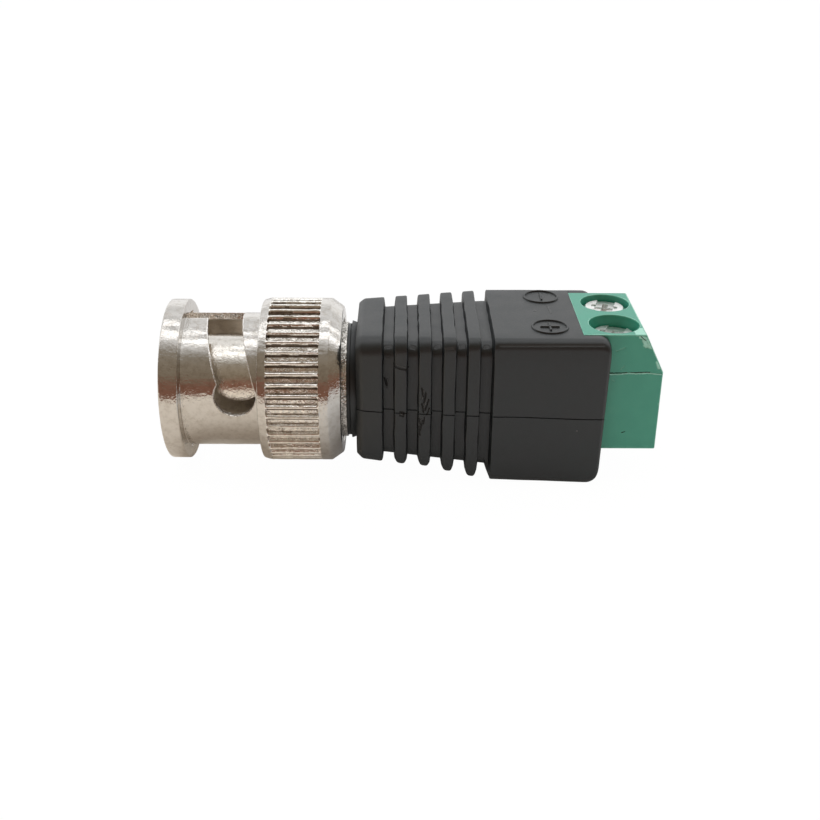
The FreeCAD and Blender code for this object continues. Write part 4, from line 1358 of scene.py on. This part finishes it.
@dataclass
class Boot:
    """The black over-moulding: a tapering ribbed grip and a box round the terminal block."""

    front: float = 16.43
    band_end: float = 18.67
    box_front: float = 28.0
    end: float = 37.5
    seat_back: float = 35.39
    ribs: tuple[float, ...] = (20.22, 22.255, 24.29, 26.325)
    rib_drops: tuple[float, ...] = (0.63, 0.54, 0.73, 0.94)
    rib_height: float = 0.73
    band_drop: float = 0.64
    rib_half: float = 0.59
    box_flank: float = 0.5
    root_front: tuple[float, float, float] = (4.91, -4.89, 5.25)
    root_rear: tuple[float, float, float] = (5.8, -5.88, 5.71)
    side_rise: Pair = (0.74, 0.73)
    top_rise: Pair = (0.71, 0.66)
    root_corner: float = 1.2
    corner: Pair = (1.5, 0.85)
    corner_steps: int = 9
    box_side: float = 6.53
    box_top: float = 6.37
    box_low: Pair = (-6.86, -7.19)
    lowest: float = -7.2
    end_rounds: tuple[float, float, float] = (0.32, 1.1, 0.9)
    lean: float = 0.022
    housing_side: float = 5.08
    housing_low: float = -4.24
    seat_ease: float = 0.12
    station_gap: float = 0.28
    end_stations: int = 12
    upper_form: RibForm = RibForm(0.08, 0.12, 0.3, 0.45)
    under_form: RibForm = RibForm(0.3, 0.22, 0.42, 0.5)
    seam: tuple[Pair, ...] = ((16.0, -0.36), (19.0, -0.5), (30.0, -0.52), (35.5, -0.72), (38.0, -0.74))
    seam_half: float = 0.05
    seam_depth: float = 0.09
    mark_place: float = 32.79
    mark_ring: float = 1.6
    mark_line: float = 0.22
    mark_bar: float = 1.65
    plus_at: float = -3.28
    minus_at: float = 4.0
    mark_height: float = 0.12
    mark_steps: int = 64
    mark_ease: float = 0.05
    wave: Ripple = Ripple(0.02, 1.6, 4.0)
    rib_sway: Ripple = Ripple(0.07, 1.2, 9.0)

    def along(self, place: float, pair: Pair) -> float:
        """A size that changes evenly from the boot's front to its box."""
        share = (place - self.front) / (self.box_front - self.front)
        return pair[0] + (pair[1] - pair[0]) * share

    def profile(self, low_side: bool) -> list[Pair]:
        """The boot's rise along its length, in shares of a rib's.

        Args:
            low_side: whether it is the profile of the boot's underside, where the ribs narrow more.

        Returns:
            (place, rise) along the boot.
        """
        height = self.rib_height
        form = self.under_form if low_side else self.upper_form
        corners: list[Point] = [
            (self.front, 0.0, 0.0),
            (self.front, height - form.drop, 0.05),
            (self.front + form.slope, height, 0.2),
            (self.band_end, height, form.ease),
            (self.band_end + 0.1, 0.0, 0.05),
        ]
        for middle in self.ribs:
            half = self.rib_half
            corners += [
                (middle - half, 0.0, 0.05),
                (middle - half + form.flank, height, form.ease),
                (middle + half - form.flank, height, form.ease),
                (middle + half, 0.0, 0.05),
            ]
        if low_side:
            corners += [(self.box_front - self.box_flank, 0.0, 0.12), (self.box_front - 0.1, height, 0.24)]
        else:
            corners += [(self.box_front - 0.16, 0.0, 0.05), (self.box_front - 0.02, height, 0.08)]
        corners.append((self.end, height, 0.0))
        return [(x, y / height) for x, y in eased(corners, 4)]

    def stations(self) -> list[tuple[float, float, float, float]]:
        """Where the boot's sections stand.

        Returns:
            (place, rise, the underside's rise, how far its ribs drop) along the boot.
        """
        upper, under = self.profile(False), self.profile(True)
        places = sorted({round(x, 3) for x, _ in upper + under})
        filled = []
        for start, stop in zip(places, places[1:]):
            count = max(1, math.ceil((stop - start) / self.station_gap))
            filled += [start + (stop - start) * i / count for i in range(count)]
        centres = [self.front + 1, *self.ribs, self.end - 4]
        drops = [self.band_drop, *self.rib_drops, 0.0]
        out = [(self.front, 0.0, 0.0, drops[0])]
        for place in filled:
            nearest = min(range(len(centres)), key=lambda i: abs(centres[i] - place))
            if place > self.box_front - self.box_flank - 0.05:
                nearest = len(centres) - 1
            elif place < self.band_end + 0.2:
                nearest = 0
            rises = [float(np.interp(place, *zip(*side))) for side in (upper, under)]
            out.append((place, rises[0], rises[1], drops[nearest]))
        start = self.end - max(self.end_rounds)
        out = [station for station in out if station[0] < start - 0.05]
        ends = start + (self.end - start) * np.sin(np.linspace(0, math.pi / 2, self.end_stations))
        return out + [(float(place), 1.0, 1.0, 0.0) for place in ends]

    def section(self, place: float, rise: float, under: float, drop: float) -> tuple[float, ...]:
        """The boot's half width, low, high and corner radius at a place.

        Args:
            place: the place along the axis.
            rise: 0 in a groove, 1 on a rib.
            under: the same for the underside.
            drop: how far the rib's bottom stands out.

        Returns:
            (half width, low, high, corner radius).
        """
        root = [self.along(place, pair) for pair in zip(self.root_front, self.root_rear)]
        if place > self.box_front - self.box_flank - 0.01:
            back = self.box_front - self.box_flank
            root = [self.along(back, pair) for pair in zip(self.root_front, self.root_rear)]
            share = max(0.0, (place - self.box_front) / (self.end - self.box_front))
            low = self.box_low[0] + (self.box_low[1] - self.box_low[0]) * share
            outer = [self.box_side, low, self.box_top]
            corner = self.corner[1]
        else:
            outer = [
                root[0] + self.along(place, self.side_rise),
                root[1] - drop,
                root[2] + self.along(place, self.top_rise),
            ]
            corner = self.along(place, self.corner)
        side, low, high = (a + (b - a) * t for a, b, t in zip(root, outer, (rise, under, rise)))
        corner = self.root_corner + (corner - self.root_corner) * rise
        insets = []
        for radius in self.end_rounds:
            reach = max(0.0, place - (self.end - radius))
            insets.append(radius - math.sqrt(max(0.0, radius * radius - reach * reach)))
        return side - insets[0], low + insets[1], high - insets[2], corner

    def ring(self, place: float, side: float, low: float, high: float, corner: float) -> list[Point]:
        """One ring of points round the boot, with the mould seam pressed in on both sides.

        Args:
            place: the place along the axis.
            side: the half width.
            low: the lowest height.
            high: the greatest height.
            corner: the corners' radius.

        Returns:
            The points, from the top middle round.
        """
        seam_z, half = float(np.interp(place, *zip(*self.seam))), self.seam_half
        quarter = [math.pi / 2 * i / self.corner_steps for i in range(self.corner_steps + 1)]
        top, bottom = high - corner, low + corner
        inner = side - corner
        points = [(side * t - corner * t, high) for t in QUARTERS]
        points += [(inner + corner * math.sin(a), top + corner * math.cos(a)) for a in quarter]
        points += [(side, top + (seam_z + half - top) * t) for t in QUARTERS]
        points += [(side, seam_z + half), (side - self.seam_depth, seam_z), (side, seam_z - half)]
        points += [(side, seam_z - half + (bottom - seam_z + half) * t) for t in QUARTERS]
        points += [(inner + corner * math.cos(a), bottom - corner * math.sin(a)) for a in quarter]
        points += [(inner * t, low) for t in reversed(QUARTERS)]
        left = [(-y, z) for y, z in reversed(points)]
        return [(place, y, z) for y, z in [(0.0, high), *points, (0.0, low), *left]]

    def shell(self) -> bpy.types.Object:
        """The boot's outside as one closed solid."""
        rings = [self.ring(place, *self.section(place, *rises)) for place, *rises in self.stations()]
        return tube("boot_shell", [self.settled(p) for ring in rings for p in ring], len(rings[0]))

    def settled(self, point: Point) -> Point:
        """Move a point as the moulding's own unevenness and the box's leaning end move it.

        Args:
            point: the point.

        Returns:
            Its new place.
        """
        x, y, z = point
        wave = self.wave.at((x * 0.7, y, z))
        size = math.hypot(y, z) or 1.0
        if x > self.end - 2:
            x += self.lean * (z + 1.5) * (x - self.end + 2) / 2
        elif self.band_end - 0.3 < x < self.box_front + 0.3:
            x += self.rib_sway.at((x * 0.6, y, z))
        return x, y - wave * y / size, max(z - wave * z / size, self.lowest)

    def box_tool(self, name: str, low: Point, high: Point) -> bpy.types.Object:
        """A plain block for cutting.

        Args:
            name: its name.
            low: its lowest corner.
            high: its highest corner.

        Returns:
            The block.
        """
        section = [(low[1], low[2]), (high[1], low[2]), (high[1], high[2]), (low[1], high[2])]
        return tube(name, [(x, y, z) for x in (low[0], high[0]) for y, z in section], len(section))

    def mark(self, name: str, centre: float, plus: bool) -> list[bpy.types.Object]:
        """A raised ring with a plus or minus sign, as it stands on the box.

        Args:
            name: the mark's name.
            centre: its place across the box.
            plus: whether it is a plus.

        Returns:
            Its ring and bars.
        """
        top, low = self.box_top + self.mark_height, self.box_top - 0.05
        half = self.mark_line / 2
        side = [(half, low), (half * 0.85, top - self.mark_ease), (half * 0.5, top)]
        cap = [(-offset, z) for offset, z in side] + side[::-1]
        count = self.mark_steps
        points = []
        for i in range(count):
            a = math.tau * i / count
            for offset, z in cap:
                r = self.mark_ring - half + offset
                points.append((self.mark_place + r * math.cos(a), centre + r * math.sin(a), z))
        made = [make_object(name, points, grid_faces(count, len(cap), True, True))]
        length = self.mark_bar / 2
        ends = [-length, -length + self.mark_ease, length - self.mark_ease, length]
        drops = [0.06, 0.0, 0.0, 0.06]
        for direction in ((0, 1), (1, 0)) if plus else ((0, 1),):
            points = []
            for reach, drop in zip(ends, drops):
                for offset, z in cap:
                    x = self.mark_place + direction[0] * reach + direction[1] * offset
                    y = centre + direction[1] * reach - direction[0] * offset
                    points.append((x, y, z - drop if z > low else z))
            made.append(tube(name, points, len(cap)))
        return made

    def build(self, nodes: dict, materials: Materials) -> bpy.types.Object:
        """Build the boot and put it in its place.

        Args:
            nodes: the CAD nodes by name.
            materials: the shared materials.

        Returns:
            The piece.
        """
        shell = self.shell()
        side, low = self.housing_side, self.housing_low
        cut_away(shell, self.box_tool("seat_tool", (self.seat_back, -side, low), (self.end + 2, side, 9)))
        cut_away(shell, welded_copy(nodes["inner_mould"], "mould_tool"))

        def ease(bm: bmesh.types.BMesh) -> None:
            """Round the rims of the seat that the terminal block sits in.

            Args:
                bm: the boot's mesh.
            """

            def on_seat(v: bmesh.types.BMVert) -> bool:
                """Whether a point lies on the seat's walls."""
                x, y, z = v.co / MM
                return x > self.seat_back + 0.01 and (abs(abs(y) - side) < 0.01 or abs(z - low) < 0.01)

            rims = [e for e in bm.edges if all(map(on_seat, e.verts)) and e.calc_face_angle(0.0) > 0.6]
            form = {"segments": 3, "profile": 0.5, "affect": "EDGES", "clamp_overlap": True}
            bmesh.ops.bevel(bm, geom=rims, offset=self.seat_ease * MM, **form)

        with_bmesh(shell, ease)
        marks = self.mark("minus_mark", self.minus_at, False) + self.mark("plus_mark", self.plus_at, True)
        obj = joined("ribbed_boot", [shell, *marks])
        smooth(obj, 38)
        seat(obj, Body.ADAPTER, "black_plastic", materials.of(BOOT_BLACK), "boot")
        return obj


# Studio


@dataclass
class Studio:
    """The pale floor, the soft light round it and the camera of the picture."""

    camera_place: Point = (20.395, -90.875, 41.315)
    yaw: float = -0.422
    pitch: float = -26.034
    roll: float = -0.439
    lens: float = 49.003
    floor_height: float = -7.21
    floor_half: float = 3000.0
    lights: tuple[tuple[float, Colour], ...] = (
        (-180.0, (1.15, 1.15, 1.15)),
        (-30.0, (0.5, 0.4, 0.3)),
        (0.0, (0.25, 0.12, 0.08)),
        (14.0, (0.25, 0.13, 0.09)),
        (24.0, (0.25, 0.2, 0.145)),
        (45.0, (0.31, 0.26, 0.2)),
        (58.0, (0.33, 0.29, 0.24)),
        (66.0, (0.55, 0.53, 0.5)),
        (74.0, (0.85, 0.84, 0.83)),
        (80.0, (1.05, 1.05, 1.05)),
        (83.0, (2.1, 2.1, 2.12)),
        (91.0, (2.1, 2.1, 2.12)),
        (93.0, (0.75, 0.75, 0.75)),
        (100.0, (0.75, 0.75, 0.75)),
        (102.0, (2.0, 2.0, 2.02)),
        (108.0, (2.0, 2.0, 2.02)),
        (110.0, (0.8, 0.8, 0.8)),
        (117.0, (0.8, 0.8, 0.8)),
        (122.0, (1.15, 1.15, 1.16)),
        (134.0, (0.9, 0.9, 0.9)),
        (146.0, (0.95, 0.95, 0.95)),
        (153.0, (1.2, 1.2, 1.2)),
        (180.0, (1.15, 1.15, 1.15)),
    )
    side_pull: float = 0.3
    near_edge: float = -82.0

    def camera(self) -> bpy.types.Object:
        """Set the camera at the picture's place, angle and lens.

        Returns:
            The camera.
        """
        data = bpy.data.cameras.new("picture_camera")
        data.sensor_width = 36.0
        data.sensor_fit = "HORIZONTAL"
        data.lens = self.lens
        data.clip_start = 0.001
        data.clip_end = 50
        obj = bpy.data.objects.new("picture_camera", data)
        bpy.context.scene.collection.objects.link(obj)
        turn = (
            Matrix.Rotation(math.radians(self.yaw), 3, "Z")
            @ Matrix.Rotation(math.radians(self.pitch), 3, "X")
            @ Matrix.Rotation(math.radians(self.roll), 3, "Y")
        )
        right, forward, up = (turn.col[i].copy() for i in range(3))
        axes = Matrix((right, up, -forward)).transposed().to_4x4()
        obj.matrix_world = Matrix.Translation(Vector(self.camera_place) * MM) @ axes
        bpy.context.scene.camera = obj
        return obj

    def world(self) -> None:
        """Soft boxes above and behind and a dim room in front, as bands round the plug axis."""
        world = bpy.data.worlds.new("studio")
        bpy.context.scene.world = world
        world.use_nodes = True
        nodes = Nodes(world.node_tree)
        x, y, z = nodes.split(nodes.add("ShaderNodeTexCoord", {}, {}, "Generated"), 1.0)
        angle = z.combine("ARCTAN2", z, abs(x) * self.side_pull - y)
        inputs = {"Value": angle, "From Min": -math.pi, "From Max": math.pi}
        share = nodes.add("ShaderNodeMapRange", {}, inputs)
        ramp = nodes.put("ShaderNodeValToRGB", {}, {0: share})
        stops = ramp.color_ramp.elements
        while len(stops) > 1:
            stops.remove(stops[-1])
        for number, (degrees, colour) in enumerate(self.lights):
            place = (degrees + 180) / 360
            stop = stops[0] if number == 0 else stops.new(place)
            stop.position = place
            stop.color = (*colour, 1.0)
        colour = Wire(nodes, ramp.outputs[0])
        shine = nodes.add("ShaderNodeBackground", {}, {"Color": colour})
        plain = nodes.add("ShaderNodeBackground", {}, {"Color": (1, 1, 1, 1), "Strength": 1.0})
        seen = nodes.add("ShaderNodeLightPath", {}, {}, "Is Camera Ray")
        both = nodes.add("ShaderNodeMixShader", {}, {0: seen, 1: shine, 2: plain})
        nodes.put("ShaderNodeOutputWorld", {}, {0: both})

    def floor(self) -> bpy.types.Object:
        """Lay the plain pale floor that the boot's box rests on.

        Returns:
            The floor.
        """
        half = self.floor_half
        corners = [(x * half, y * half, self.floor_height) for x, y in ((-1, -1), (1, -1), (1, 1), (-1, 1))]
        obj = make_object("floor", corners, [[0, 1, 2, 3]])
        s = Shade("pale_floor")
        along, depth, _ = s.split(s.place(), 1 / MM)
        # For all rays but the camera's, the floor is warm under and in front of the nut and grey further
        # off: a painted reflection tone for the metal. The camera sees plain white.
        plain = depth.fade(4, 25).most(along.fade(9, 17))
        tone = s.blend(plain, (0.95, 0.88, 0.785), (0.82, 0.82, 0.82))
        matt = s.add("ShaderNodeBsdfDiffuse", {}, {"Color": tone})
        glow = s.add("ShaderNodeEmission", {}, {"Color": tone, "Strength": 0.14})
        lit = s.add("ShaderNodeAddShader", {}, {0: matt, 1: glow})
        # Beyond the near edge the floor glows red-brown, painted light that only the metal's reflections
        # show.
        beyond = s.add("ShaderNodeEmission", {}, {"Color": (0.25, 0.12, 0.08, 1), "Strength": 1.0})
        near = depth.fade(self.near_edge - 8, self.near_edge + 8)
        lit = s.add("ShaderNodeMixShader", {}, {0: near, 1: beyond, 2: lit})
        clean = s.add("ShaderNodeEmission", {}, {"Color": (1, 1, 1, 1), "Strength": 0.985})
        faint = s.add("ShaderNodeBsdfDiffuse", {}, {"Color": (0.03, 0.03, 0.03, 1)})
        white = s.add("ShaderNodeAddShader", {}, {0: clean, 1: faint})
        seen = s.add("ShaderNodeLightPath", {}, {}, "Is Camera Ray")
        both = s.add("ShaderNodeMixShader", {}, {0: seen, 1: lit, 2: white})
        s.put("ShaderNodeOutputMaterial", {}, {0: both})
        obj.data.materials.append(s.material)
        return obj

    def build(self) -> None:
        """Set the camera, the light and the floor."""
        self.camera()
        self.world()
        self.floor()
        bpy.context.scene.view_settings.view_transform = "Standard"


SPRING_SQUASH = Squash("spring_travel", 12.7, 0.44)
CARRIED = (
    CarriedPiece("nut_retainer", "retainer_ring", "spring_steel", SPRING_STEEL, Body.NUT, 0.03),
    CarriedPiece("slip_washer", "slip_ring", "spring_steel", SPRING_STEEL, Body.WASHER, 0.03),
    CarriedPiece("wave_spring", "wave_ring", "spring_steel", SPRING_STEEL, ease=0.02, squash=SPRING_SQUASH),
    CarriedPiece("plug_body", "cast_plug_body", "nickel_plate", HUB_NICKEL),
    CarriedPiece("contact_sleeve", "slit_sleeve", "nickel_plate", SLEEVE_NICKEL, ease=0.03),
    CarriedPiece("gasket", "gasket_ring", "seal_rubber", SEAL_RUBBER, ease=0.12),
    CarriedPiece("insulator", "dielectric_core", "white_dielectric", DIELECTRIC),
    CarriedPiece("centre_pin", "turned_pin", "gold_plate", GOLD, ease=0.03),
    CarriedPiece("ground_tag", "solder_tag", "tinned_metal", TIN, ease=0.03),
    CarriedPiece("inner_mould", "black_pre_mould", "black_plastic", BLACK, ease=0.05),
    CarriedPiece("terminal_housing", "green_housing", "green_plastic", GREEN, ease=0.09, edge=GREEN_EDGE_HIGHLIGHT),
    CarriedPiece("wire_cage_plus", "plus_cage", "tinned_metal", TIN, ease=0.06),
    CarriedPiece("wire_cage_minus", "minus_cage", "tinned_metal", TIN, ease=0.06),
    CarriedPiece("clamp_screw_plus", "plus_screw", "zinc_plate", ZINC, Body.SCREW_PLUS, 0.05),
    CarriedPiece("clamp_screw_minus", "minus_screw", "zinc_plate", ZINC, Body.SCREW_MINUS, 0.05),
    CarriedPiece("pressure_plate_plus", "plus_plate", "zinc_plate", ZINC, Body.PLATE_PLUS, 0.05),
    CarriedPiece("pressure_plate_minus", "minus_plate", "zinc_plate", ZINC, Body.PLATE_MINUS, 0.05),
)

KEPT_NODES = {
    "centre_lead": TIN,
    "ground_lead": TIN,
    "solder_contact_plus": TIN,
    "solder_contact_minus": TIN,
}


def main() -> None:
    """Dress the adapter and set it in its studio."""
    logging.basicConfig(level=logging.INFO, format="%(name)s: %(message)s")
    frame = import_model()
    nodes = frame["nodes"]
    materials = Materials()
    for node, finish in KEPT_NODES.items():
        nodes[node].data.materials.clear()
        nodes[node].data.materials.append(materials.of(finish))
    for piece in CARRIED:
        piece.build(nodes, materials)
    CouplingNut().build(materials)
    Boot().build(nodes, materials)
    Studio().build()


if __name__ == "__main__":
    main()
